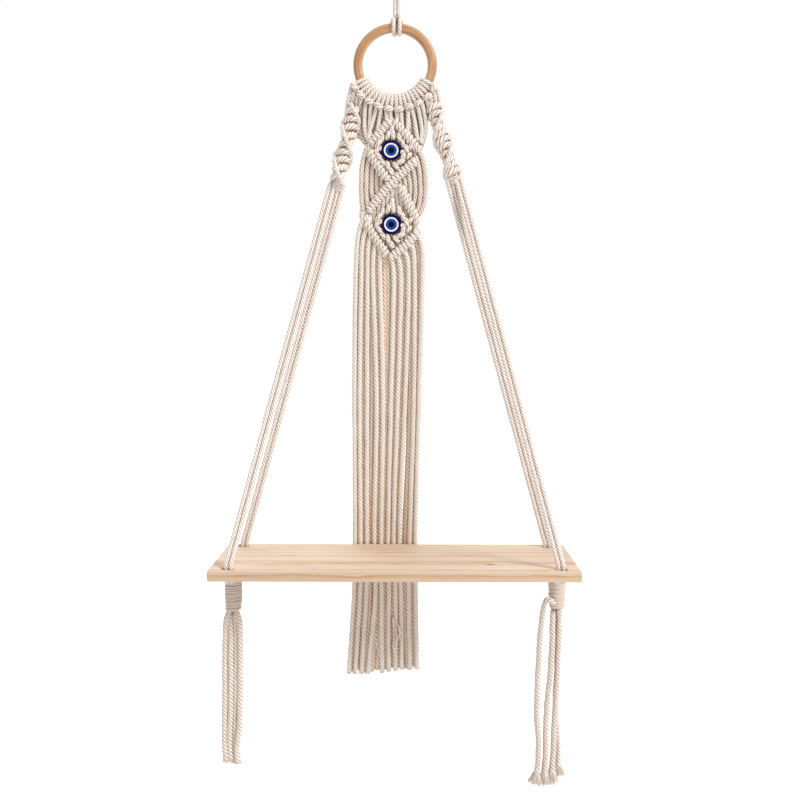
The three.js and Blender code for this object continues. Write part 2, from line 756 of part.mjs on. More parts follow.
// Strands that fan out sideways between the two diamonds
const fanRoutes = {
  middle_left_fan: [
    [[-28, -213], [-36, -221], [-40.2, -240], [-40.2, -256], [-38, -272], [-30, -284]],
    [[-25, -220], [-32, -227], [-35.8, -243], [-35.8, -256], [-33.4, -269], [-26, -279]],
    [[-21, -227], [-28, -234], [-31.4, -246], [-31.4, -256], [-29, -266], [-22, -275]],
    [[-16, -235], [-23.6, -241], [-27, -249], [-27, -256], [-24.6, -263], [-17, -271]],
    [[-11, -243], [-19, -247], [-22.6, -252], [-22.6, -256], [-20, -260.4], [-12, -267]],
  ],
  middle_right_fan: [
    [[24, -226], [32, -232], [36.4, -247], [36.4, -262], [33.6, -278], [27, -290]],
    [[19, -231], [27, -237], [32, -249], [32, -262], [29.2, -275], [23, -286]],
    [[14, -236], [22, -241], [27.6, -251], [27.6, -261], [25, -271], [18, -280]],
    [[9, -242], [17, -246], [23.2, -253], [23.2, -260], [20.8, -267], [14, -274]],
    [[3, -248], [11, -250.5], [18.8, -255.4], [18.8, -258.6], [16.4, -263], [9, -268]],
  ],
};

function onPanel([x, z]) {
  return vec(x, panelY(z), z);
}

// One skin over the strands lying side by side, a bump for each strand and a valley between two
function fan(name) {
  const routes = fanRoutes[name].map((route) => route.map(onPanel));
  const out = vec(0, -1, 0);
  const rings = routes[0].map((_, station) => {
    const line = routes.map((route) => route[station]);
    const face = (way) => line.flatMap((point, i) => {
      const bump = point.clone().addScaledVector(out, way * fanBump);
      if (i === line.length - 1) return [bump];
      const between = point.clone().lerp(line[i + 1], 0.5);
      return [bump, between.addScaledVector(out, way * fanValley)];
    });
    const edge = (a, b) => a.clone().addScaledVector(a.clone().sub(b).normalize(), fanBump);
    const last = line.length - 1;
    return [edge(line[0], line[1]), ...face(1), edge(line[last], line[last - 1]), ...face(-1).reverse()];
  });
  return carve(skin(rings, false), barCutters);
}

// Fringe: [x, z] places down the panel, and how far behind it a strand lies
const fringe = {
  fringe_strand_01: [0, [
    [-34, -297], [-42.6, -302], [-47.4, -313], [-48.6, -345],
    [-48, -500], [-48.9, -670], [-50.6, -727], [-56.4, -833],
  ]],
  fringe_strand_02: [0, [
    [-29, -305], [-37.6, -310.4], [-41.4, -321], [-42.2, -345],
    [-42.1, -500], [-42.1, -670], [-43, -727], [-48.6, -833],
  ]],
  fringe_strand_03: [0, [
    [-24, -312], [-31.6, -317.6], [-34.8, -328], [-34.6, -350],
    [-33.4, -500], [-34.7, -670], [-35.6, -727], [-41, -833],
  ]],
  fringe_strand_04: [0, [
    [-19.6, -319], [-25.8, -325.4], [-27, -335], [-26, -352],
    [-22.3, -500], [-25.8, -670], [-27.6, -727], [-33.2, -833],
  ]],
  fringe_strand_05: [0, [
    [-15, -326], [-18.8, -333], [-18.8, -345], [-14.6, -500],
    [-17.7, -670], [-17.9, -727], [-16.4, -831],
  ]],
  fringe_strand_06: [0, [
    [-2, -333], [-2.4, -342], [-3.4, -352], [-5.3, -500],
    [-9.2, -670], [-9.4, -727], [-8.6, -828],
  ]],
  fringe_strand_07: [0, [
    [3.4, -327], [5.4, -334], [5, -352], [2.6, -500],
    [-2.2, -670], [-1, -727], [-0.4, -828],
  ]],
  fringe_strand_08: [0, [
    [10, -321.5], [12.6, -329], [12.6, -352], [11.1, -500],
    [5.6, -670], [6.4, -727], [7, -827],
  ]],
  fringe_strand_09: [0, [
    [18, -316], [21.4, -323], [21.8, -352], [21.6, -500],
    [16.5, -670], [15.6, -727], [17, -826],
  ]],
  fringe_strand_10: [0, [
    [26, -310], [31.4, -317], [31.8, -345], [27.5, -500],
    [23.4, -670], [24, -727], [25.4, -825],
  ]],
  fringe_strand_11: [5.6, [
    [-12, -336], [-12.6, -352], [-19, -420], [-28, -500],
    [-29.9, -670], [-29, -727], [-25.4, -832],
  ]],
  fringe_strand_12: [5.6, [
    [-4, -340], [-2.4, -354], [6, -420], [15.6, -500],
    [10.6, -670], [10.4, -727], [11.6, -827],
  ]],
};

function fringeStrand([behind, route]) {
  const line = route.map(([x, z]) => vec(x, panelY(z) + behind, z));
  const path = new THREE.CatmullRomCurve3(line, false, "centripetal");
  const steps = Math.round(path.getLength() / freeStep);
  const points = path.getSpacedPoints(steps);
  // The strand lies on the board's rear edge, so it has a point at each of that edge's corners
  const corners = [boardTopZ, boardUnderZ].map((z) => {
    const far = (point) => Math.abs(point.z - z);
    const near = points.reduce((best, point) => (far(point) < far(best) ? point : best));
    return vec(near.x, panelFootY + behind, z);
  });
  const clear = (point) => corners.every((corner) => Math.abs(corner.z - point.z) > cordDiameter * 2);
  const rest = points.slice(2).filter(clear);
  const stations = [...points.slice(0, 2), ...leadPoints(path, points), ...rest, ...corners];
  stations.sort((a, b) => b.z - a.z);
  return carve(tubeAlong(stations, cordDiameter, cordSides), barCutters);
}

// Extra points where a strand leaves its bar and bends down
function leadPoints(path, points) {
  const share = 1 / (points.length - 1);
  return [0.36, 0.68].map((part) => path.getPointAt(part * share));
}

// Board with rounded edges and four holes
function shelfBoard() {
  const halfLength = boardLength / 2 - boardEdgeRound;
  const halfDepth = boardDepth / 2 - boardEdgeRound;
  const outline = new THREE.Shape();
  outline.moveTo(-halfLength, -halfDepth);
  outline.lineTo(halfLength, -halfDepth);
  outline.lineTo(halfLength, halfDepth);
  outline.lineTo(-halfLength, halfDepth);
  outline.closePath();
  [-1, 1].forEach((across) => [-1, 1].forEach((back) => {
    const hole = new THREE.Path();
    for (let i = 0; i < holeTurns; i += 1) {
      const angle = ((i + 0.5) / holeTurns) * 2 * Math.PI;
      const reach = holeDiameter / 2 + boardEdgeRound;
      const at = [across * holeX + reach * Math.cos(angle), back * holeY + reach * Math.sin(angle)];
      if (i === 0) hole.moveTo(...at);
      else hole.lineTo(...at);
    }
    hole.closePath();
    outline.holes.push(hole);
  }));
  const board = new THREE.ExtrudeGeometry(outline, {
    depth: boardThickness - 2 * boardEdgeRound,
    bevelEnabled: true,
    bevelSize: boardEdgeRound,
    bevelThickness: boardEdgeRound,
    bevelSegments: 1,
  });
  board.translate(0, boardY, boardUnderZ + boardEdgeRound);
  return toSolid(board);
}

// Build every piece
addPiece("hanging_cord", hangingCord(0), cotton);
addPiece("loop_knot", loopKnot([hangingCord(gap)]), cotton);
addPiece("hanging_hitch", hangingHitch(), cotton);
addPiece("wood_ring", woodRing(), ringWood);
legShares.forEach((targets, i) => {
  const psi = headRowStart * degree + (2 * i + 1) * headHalfAngle;
  const number = String(i + 1).padStart(2, "0");
  addPiece(`larks_head_${number}`, carve(larksHead(psi, targets), pivotCutters), cotton);
});
Object.entries(sinnetShares).forEach(([side, shape]) => {
  addPiece(`${side}_spiral_sinnet`, spiralSinnet(side, shape), cotton);
});

["left", "right"].forEach((side) => {
  const sign = side === "left" ? -1 : 1;
  const rod = crossRod(sign * wrapSideways, boardY, tasselPivotZ, tasselPivotRadius, cordDiameter * 5);
  const block = new THREE.BoxGeometry(cordDiameter * 5, cordDiameter * 5, cordDiameter * 5);
  block.translate(sign * wrapSideways, boardY, tasselPivotZ - cordDiameter * 2.5);
  const below = toSolid(block).subtract(rod);
  ["front", "rear"].forEach((pair) => [0, 1].forEach((place) => {
    addPiece(`${side}_${pair}_side_cord_${place + 1}`, carve(sideCord(side, pair, place), [below]), cotton);
  }));
});
addPiece("shelf_board", shelfBoard(), pine);
[["left", -1], ["right", 1]].forEach(([side, sign]) => {
  const points = wrapKnot(sign);
  console.log(`${side}_wrap_knot least self-gap ${leastSelfGap(points).toFixed(2)} mm`);
  addPiece(`${side}_wrap_knot`, tubeAlong(points, wrapCordDiameter, knotSides), cotton);
});
Object.keys(tails).forEach((name) => addPiece(name, tail(name), cotton));
barNames.forEach((name, i) => {
  addPiece(name, carve(hitchBar(barShares[name]), barCutters.slice(0, i)), cotton);
});
["upper", "lower"].forEach((name) => {
  addPiece(`${name}_eye_bead`, eyeBead(name), beadGlass);
  addPiece(`${name}_bead_pad`, beadPad(name), cotton);
});
Object.keys(fanRoutes).forEach((name) => addPiece(name, fan(name), cotton));
Object.entries(fringe).forEach(([name, shape]) => addPiece(name, fringeStrand(shape), cotton));

export default part;
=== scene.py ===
"""Hanging rope shelf: a pine board slung from a wooden ring by knotted cotton cord."""

import logging
import math
from dataclasses import dataclass, field
from enum import Enum, IntEnum

import bpy
import numpy as np
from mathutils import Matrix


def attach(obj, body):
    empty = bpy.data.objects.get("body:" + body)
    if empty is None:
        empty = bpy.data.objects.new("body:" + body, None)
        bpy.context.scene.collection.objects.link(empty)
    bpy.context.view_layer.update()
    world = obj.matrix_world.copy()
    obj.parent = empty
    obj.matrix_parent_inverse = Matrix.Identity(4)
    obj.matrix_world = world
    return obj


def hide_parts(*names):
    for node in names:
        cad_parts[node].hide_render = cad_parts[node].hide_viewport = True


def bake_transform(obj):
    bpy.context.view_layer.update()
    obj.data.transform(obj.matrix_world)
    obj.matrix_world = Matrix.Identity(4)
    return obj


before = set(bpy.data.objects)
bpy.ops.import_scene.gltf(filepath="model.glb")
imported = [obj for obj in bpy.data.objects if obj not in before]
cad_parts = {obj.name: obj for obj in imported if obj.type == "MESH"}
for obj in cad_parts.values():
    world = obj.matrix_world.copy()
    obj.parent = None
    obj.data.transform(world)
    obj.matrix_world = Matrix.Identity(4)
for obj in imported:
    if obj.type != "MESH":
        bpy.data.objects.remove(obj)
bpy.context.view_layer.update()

logging.basicConfig(level=logging.INFO, format="%(message)s")
log = logging.getLogger("rope_shelf")

MM = 0.001
TURN = 2 * math.pi
Point = tuple[float, float, float]
Colour = tuple[float, float, float]
Stops = tuple[tuple[float, Colour], ...]

WHITE: Colour = (1, 1, 1)


class Side(Enum):
    """The viewer's left or right."""

    LEFT = -1
    RIGHT = 1

    @property
    def word(self) -> str:
        """The side's name in the names of pieces."""
        return self.name.lower()


class Seed(IntEnum):
    """Where the seeds of each kind of piece start."""

    SIDE_CORD = 51
    TAIL = 100
    TAIL_END = 130
    STRAND = 200
    STRAND_END = 230
    HANGING_CORD = 301
    LOOP_KNOT = 302
    HITCH = 310
    LARKS_HEAD = 320
    SINNET = 341
    BAR = 360
    BEAD_PAD = 405
    FAN = 420
    WRAP = 430


def by_side(left: object, right: object) -> object:
    """A dataclass field with one value for each side."""
    return field(default_factory=lambda: {Side.LEFT: left, Side.RIGHT: right})


# ---------------------------------------------------------------- materials


class Graph:
    """A graph of shader nodes, built node by node. What an input gets is a socket, a number, a vector or a colour."""

    def __init__(self, tree: bpy.types.NodeTree) -> None:
        """Start on a tree."""
        self.tree = tree

    def put(self, socket: bpy.types.NodeSocket, value: object) -> None:
        """Link a socket to an input, or set the input's own value."""
        if isinstance(value, bpy.types.NodeSocket):
            self.tree.links.new(value, socket)
        else:
            socket.default_value = (*value, 1) if socket.type == "RGBA" else value

    def feed(self, node: bpy.types.Node, inputs: dict[str | int, object]) -> bpy.types.Node:
        """Put values into a node's inputs, by name or place, and hand the node back."""
        for key, value in inputs.items():
            self.put(node.inputs[key], value)
        return node

    def node(self, kind: str, inputs: dict[str | int, object] | None = None, **settings: object) -> bpy.types.Node:
        """Add a node.

        Args:
            kind: The node's type, without its ShaderNode prefix.
            inputs: What its inputs get, by name or place.
            settings: Attributes of the node.

        Returns:
            The new node.
        """
        made = self.tree.nodes.new("ShaderNode" + kind)
        for key, value in settings.items():
            setattr(made, key, value)
        return self.feed(made, inputs or {})

    def coordinates(self, scale: Point = (1, 1, 1), location: Point = (0, 0, 0)) -> object:
        """Object coordinates, scaled and moved."""
        return self.mapped(self.node("TexCoord").outputs["Object"], scale, location)

    def mapped(self, source: object, scale: Point, location: Point = (0, 0, 0)) -> object:
        """A vector, scaled and moved."""
        return self.node("Mapping", {"Vector": source, "Scale": scale, "Location": location}).outputs["Vector"]

    def parts(self, vector: object) -> object:
        """A vector's X, Y and Z sockets."""
        return self.node("SeparateXYZ", {0: vector}).outputs

    def noise(self, vector: object, scale: float, detail: float = 3, distortion: float = 0) -> object:
        """Noise over a vector.

        Args:
            vector: The vector socket.
            scale: The noise's scale.
            detail: How many octaves it has.
            distortion: How much it is warped.

        Returns:
            The noise's value socket.
        """
        inputs = {"Vector": vector, "Scale": scale, "Detail": detail, "Distortion": distortion}
        return self.node("TexNoise", inputs).outputs[0]

    def ramp(self, value: object, stops: Stops) -> object:
        """A colour for each value.

        Args:
            value: The value socket.
            stops: Positions and colours.

        Returns:
            The colour socket.
        """
        made = self.node("ValToRGB", {0: value})
        elements = made.color_ramp.elements
        while len(elements) < len(stops):
            elements.new(0.5)
        for element, (position, colour) in zip(elements, stops):
            element.position = position
            element.color = (*colour, 1)
        return made.outputs[0]

    def tone(self, value: object, low: float, tint: Colour, high: float) -> object:
        """A tint at the low value that gives way to white at the high one."""
        return self.ramp(value, ((low, tint), (high, WHITE)))

    def math(self, operation: str, first: object, second: object = 0.0) -> object:
        """A sum on one or two values."""
        return self.node("Math", {0: first, 1: second}, operation=operation).outputs[0]

    def distance(self, first: object, second: object) -> object:
        """How far a point lies from the origin of two axes."""
        squares = (self.math("MULTIPLY", value, value) for value in (first, second))
        return self.math("SQRT", self.math("ADD", *squares))

    def mix(self, kind: str, share: object, first: object, second: object) -> object:
        """Two colours blended.

        Args:
            kind: The blend type.
            share: The share of the second colour.
            first: The first colour.
            second: The second colour.

        Returns:
            The colour socket.
        """
        return self.node("Mix", {0: share, 6: first, 7: second}, data_type="RGBA", blend_type=kind).outputs[2]

    def tinted(self, colour: object, *tones: object) -> object:
        """A colour multiplied by tones, one after another."""
        for tone in tones:
            colour = self.mix("MULTIPLY", 1.0, colour, tone)
        return colour

    def bump(self, height: object, distance: float, strength: float, under: object | None = None) -> object:
        """A bump from a height.

        Args:
            height: The height socket.
            distance: The height's real size, in metres.
            strength: The bump's strength.
            under: A bump that this one lies on.

        Returns:
            The normal socket.
        """
        inputs = {"Height": height, "Distance": distance, "Strength": strength}
        return self.node("Bump", inputs if under is None else {**inputs, "Normal": under}).outputs[0]

    def seen(self) -> object:
        """1 for a look from the camera, also by mirror or through glass, and 0 for light that falls."""
        path = self.node("LightPath").outputs
        indirect = self.math("MAXIMUM", path["Is Glossy Ray"], path["Is Transmission Ray"])
        return self.math("MAXIMUM", path["Is Camera Ray"], indirect)


class MaterialGraph(Graph):
    """A material's graph, with its shader and output."""

    def __init__(self, name: str) -> None:
        """Start with a shader and an output.

        Args:
            name: The material's name.
        """
        self.material = bpy.data.materials.new(name)
        self.material.use_nodes = True
        super().__init__(self.material.node_tree)
        self.tree.nodes.clear()
        self.shader = self.node("BsdfPrincipled")
        self.output = self.node("OutputMaterial", {0: self.shader.outputs[0]})

    def finished(self, inputs: dict[str | int, object]) -> bpy.types.Material:
        """Put values into the shader and hand the material over."""
        self.feed(self.shader, inputs)
        return self.material


def linear(hexadecimal: str) -> Colour:
    """A colour written as in a picture, as linear light.

    Args:
        hexadecimal: Six hexadecimal digits.

    Returns:
        The linear colour.
    """
    shares = [int(hexadecimal[i:i + 2], 16) / 255 for i in (0, 2, 4)]
    values = [s / 12.92 if s <= 0.04045 else ((s + 0.055) / 1.055) ** 2.4 for s in shares]
    return (values[0], values[1], values[2])


@dataclass(frozen=True)
class CottonFinish:
    """Undyed cotton cord: pale fluffy plies, with painted warm shade in the grooves and crevices between them."""

    name: str = "cotton_cord"
    crest: str = "F2EEEB"
    flank: str = "DFCFC3"
    groove: str = "9C7354"
    fibre_scale: float = 2600
    roughness: float = 0.92
    shade: float = 1.0
    tuft_scale: float = 420
    patch_scale: float = 22
    # Painted crevice shade: ambient occlusion within this reach picks the tints below, mixed in by the shade share.
    hollow_reach: float = 0.006
    dye: Stops = ((0.14, (0.5, 0.33, 0.21)), (0.43, (0.85, 0.72, 0.61)), (0.72, WHITE))

    def build(self) -> bpy.types.Material:
        """Make the material.

        Returns:
            The cotton material.
        """
        graph = MaterialGraph(self.name)
        crest = graph.node("Attribute", attribute_name="crest").outputs["Fac"]
        weave = graph.node("Attribute", attribute_name="weave").outputs["Vector"]
        fibres = graph.noise(graph.mapped(weave, (1, 1, 0.07)), self.fibre_scale, 3, 0.3)
        tufts = graph.noise(graph.mapped(weave, (1, 1, 0.5)), self.tuft_scale, 2, 0.5)
        patches = graph.noise(graph.coordinates(), self.patch_scale, 2)
        # Painted shade: the grooves between the plies, and their flanks, get darker colours than the crests.
        plies = graph.ramp(crest, ((0.05, linear(self.groove)), (0.4, linear(self.flank)), (0.8, linear(self.crest))))
        colour = graph.tinted(plies, graph.tone(fibres, 0.3, (0.9, 0.88, 0.86), 0.62),
                              graph.tone(tufts, 0.3, (0.95, 0.94, 0.925), 0.6),
                              graph.tone(patches, 0.35, (0.97, 0.96, 0.945), 0.65))
        # Painted shade: ambient occlusion darkens and warms the colour in crevices and where cords lie close.
        crevice_shade_mask = graph.node("AmbientOcclusion", {"Distance": self.hollow_reach}, samples=6).outputs["AO"]
        return graph.finished({
            "Base Color": graph.mix("MULTIPLY", self.shade, colour, graph.ramp(crevice_shade_mask, self.dye)),
            "Normal": graph.bump(fibres, 0.00012, 0.6, graph.bump(tufts, 0.0004, 0.35)),
            "Roughness": self.roughness, "Specular IOR Level": 0.25, "Sheen Weight": 0.2, "Sheen Roughness": 0.45,
            "Subsurface Weight": 0.2, "Subsurface Radius": (1.0, 0.6, 0.4), "Subsurface Scale": 0.0018,
        })


@dataclass(frozen=True)
class PineFinish:
    """Planed pine: long pinkish bands on the faces and a wavier edge, its upright faces made tanner by painted shade.
    """

    name: str = "pine_board"
    early: str = "DFCCB9"
    late: str = "D6BBA0"
    line: str = "C6A17C"
    # Painted shade for the upright faces.
    edge_tone: str = "EEE9E0"
    knot_tone: str = "8A5A36"
    pith_depth: float = 0.055
    ring_scale: float = 34
    knots: tuple[tuple[float, float, float], ...] = (
        (0.105, -0.036, 0.0042), (-0.086, -0.057, 0.0016), (-0.047, -0.028, 0.0014),
    )

    def build(self) -> bpy.types.Material:
        """Make the material.

        Returns:
            The pine material.
        """
        graph = MaterialGraph(self.name)
        log_space = graph.coordinates((0.05, 1, 1), (0.0, 0.03, 0.675 + self.pith_depth))
        wave = graph.node("TexWave", {
            "Vector": log_space, "Scale": self.ring_scale, "Distortion": 2.2, "Detail": 2.0, "Detail Scale": 9.0,
            "Detail Roughness": 0.55,
        }, wave_type="RINGS", rings_direction="X", wave_profile="SAW")
        early, late, line = linear(self.early), linear(self.late), linear(self.line)
        bands = graph.ramp(wave.outputs["Fac"], ((0.0, early), (0.55, early), (0.86, late), (0.95, line), (1.0, late)))
        fibres = graph.noise(graph.coordinates((0.015, 1, 1)), 900, 4, 0.2)
        clouds = graph.noise(graph.coordinates((0.25, 1, 1)), 16, 3, 0.4)
        colour = graph.tinted(bands, graph.tone(fibres, 0.32, (0.93, 0.9, 0.87), 0.6),
                              graph.tone(clouds, 0.3, (0.94, 0.89, 0.85), 0.7))
        # Painted shade: the upright faces are tinted tanner and darker than the top, by how far each face turns from
        # level.
        level = graph.math("ABSOLUTE", graph.parts(graph.node("NewGeometry").outputs["True Normal"])["Z"])
        colour = graph.mix("MIX", graph.math("SUBTRACT", 1.0, level), colour,
                           graph.tinted(colour, linear(self.edge_tone)))
        place = graph.parts(graph.node("TexCoord").outputs["Object"])
        for x, y, size in self.knots:
            across = graph.math("MULTIPLY", graph.math("SUBTRACT", place["X"], x), 0.55)
            distance = graph.distance(across, graph.math("SUBTRACT", place["Y"], y))
            wobble = graph.math("MULTIPLY", graph.math("SUBTRACT", clouds, 0.5), size * 0.6)
            near = graph.math("DIVIDE", graph.math("ADD", distance, wobble), size)
            share = graph.ramp(near, ((0.35, WHITE), (1.0, (0, 0, 0))))
            colour = graph.mix("MIX", graph.math("MULTIPLY", share, 0.75), colour, linear(self.knot_tone))
        return graph.finished({
            "Base Color": colour, "Roughness": graph.ramp(fibres, ((0.3, (0.62,) * 3), (0.7, (0.5,) * 3))),
            "Normal": graph.bump(fibres, 0.00015, 0.35), "Specular IOR Level": 0.35,
        })


@dataclass(frozen=True)
class RingFinish:
    """Turned beech ring: tan wood with fine streaks round it and a thin wax."""

    name: str = "ring_wood"
    pale: str = "CFA880"
    mid: str = "BB9066"
    dark: str = "A06E40"
    lift: float = 0.1175
    stretch: float = 0.003

    def build(self) -> bpy.types.Material:
        """Make the material.

        Returns:
            The ring's material.
        """
        graph = MaterialGraph(self.name)
        place = graph.parts(graph.coordinates((1, 1, 1), (0, 0, self.lift)))
        x, z = place["X"], place["Z"]
        along = graph.math("MULTIPLY", graph.math("ARCTAN2", x, z), self.stretch)
        around = graph.node("CombineXYZ", {0: graph.distance(x, z), 1: place["Y"], 2: along}).outputs[0]
        streaks = graph.noise(around, 900, 4, 0.3)
        bands = graph.noise(around, 260, 3, 0.5)
        pores = graph.noise(around, 2100, 2)
        base = graph.ramp(bands, ((0.28, linear(self.dark)), (0.5, linear(self.mid)), (0.72, linear(self.pale))))
        colour = graph.mix("MULTIPLY", 0.8, base, graph.tone(streaks, 0.34, (0.84, 0.78, 0.71), 0.58))
        return graph.finished({
            "Base Color": graph.mix("MULTIPLY", 0.6, colour, graph.tone(pores, 0.3, (0.82, 0.76, 0.7), 0.42)),
            "Roughness": graph.ramp(streaks, ((0.3, (0.55,) * 3), (0.7, (0.4,) * 3))),
            "Normal": graph.bump(streaks, 0.0001, 0.3), "Coat Weight": 0.12, "Coat Roughness": 0.3,
        })


@dataclass(frozen=True)
class GlassFinish:
    """Opaque bead glass, faintly swirled."""

    name: str
    tone: str
    swirl: str

    def build(self) -> bpy.types.Material:
        """Make the material.

        Returns:
            The glass material.
        """
        graph = MaterialGraph(self.name)
        swirls = graph.noise(graph.coordinates(), 240, 3, 1.2)
        return graph.finished({
            "Base Color": graph.ramp(swirls, ((0.35, linear(self.tone)), (0.7, linear(self.swirl)))),
            "Normal": graph.bump(swirls, 0.0001, 0.15), "Roughness": 0.34, "Specular IOR Level": 0.05,
            "Coat Weight": 0.06, "Coat Roughness": 0.12,
        })


# ---------------------------------------------------------------- cord geometry


def spline(points: list[Point] | np.ndarray, fine: int = 24) -> np.ndarray:
    """A smooth curve through given points, as the frame's cords have it.

    Args:
        points: The points that it goes through.
        fine: How many samples each span gets.

    Returns:
        The sampled points.
    """
    given = np.asarray(points, float)
    whole = np.vstack([2 * given[0] - given[1], given, 2 * given[-1] - given[-2]])
    shares = np.linspace(0, 1, fine, endpoint=False)[:, None]
    spans = []
    for a, b, c, d in zip(whole, whole[1:], whole[2:], whole[3:]):
        first, middle, last = (max(np.linalg.norm(q - p), 1e-9) ** 0.5 for p, q in ((a, b), (b, c), (c, d)))
        start = ((b - a) / first - (c - a) / (first + middle) + (c - b) / middle) * middle
        end = ((c - b) / middle - (d - b) / (middle + last) + (d - c) / last) * middle
        spans.append(b + start * shares + (3 * (c - b) - 2 * start - end) * shares ** 2
                     + (2 * (b - c) + start + end) * shares ** 3)
    return np.vstack([*spans, given[-1:]])


def lengths(path: np.ndarray) -> np.ndarray:
    """How far along the path each of its points is."""
    return np.concatenate([[0.0], np.cumsum(np.linalg.norm(np.diff(path, axis=0), axis=1))])


def even(path: np.ndarray, step: float) -> np.ndarray:
    """The same path with evenly spaced points.

    Args:
        path: The path.
        step: The spacing.

    Returns:
        The new points.
    """
    along = lengths(path)
    count = max(3, int(round(along[-1] / step)) + 1)
    stations = np.linspace(0, along[-1], count)
    return np.stack([np.interp(stations, along, path[:, axis]) for axis in range(3)], 1)


def unit(vectors: np.ndarray) -> np.ndarray:
    """Vectors with length one."""
    return vectors / np.maximum(np.linalg.norm(vectors, axis=-1, keepdims=True), 1e-12)


def frames(path: np.ndarray) -> tuple[np.ndarray, np.ndarray, np.ndarray]:
    """Frames that turn no more than the path does.

    Args:
        path: The path.

    Returns:
        The tangents and the two directions across them.
    """
    tangents = unit(np.gradient(path, axis=0))
    first = np.eye(3)[int(np.argmin(np.abs(tangents[0])))]
    sides = np.empty_like(tangents)
    side = first
    for i, tangent in enumerate(tangents):
        side = side - tangent * float(side @ tangent)
        side = side / max(float(np.linalg.norm(side)), 1e-12)
        sides[i] = side
    return tangents, sides, np.cross(tangents, sides)


@dataclass(frozen=True)
class Lay:
    """How a cord is laid, in millimetres. Its hand is -1 for plies that turn as the middle of an S does."""

    diameter: float = 5.3
    pitch: float = 17.0
    hand: int = -1
    plies: int = 4
    groove: float = 0.2
    points_per_ply: int = 6
    rings_per_turn: int = 16

    @property
    def radius(self) -> float:
        """Half the diameter."""
        return self.diameter / 2

    @property
    def step(self) -> float:
        """The spacing of the rings along it."""
        return self.pitch / self.rings_per_turn


# A cord's rounded ends: how far each row of points lies past the end and how wide it is, as shares of the radius
CAP_ROWS = ((1.0, 0.35), (0.7, 0.78), (0.35, 0.95))
CAP_REACH = 0.8
CREST_POWER = 0.6
# In millimetres: the waves in which a cord strays, how far from its ends it starts to, and its uneven thickness
STRAY_WAVES = (17.0, 41.0, 90.0)
STEADY_END = 12
UNEVEN_WAVE = 31
UNEVEN_SHARE = 0.02
FIBRE_RADIUS = (0.34, 0.6)


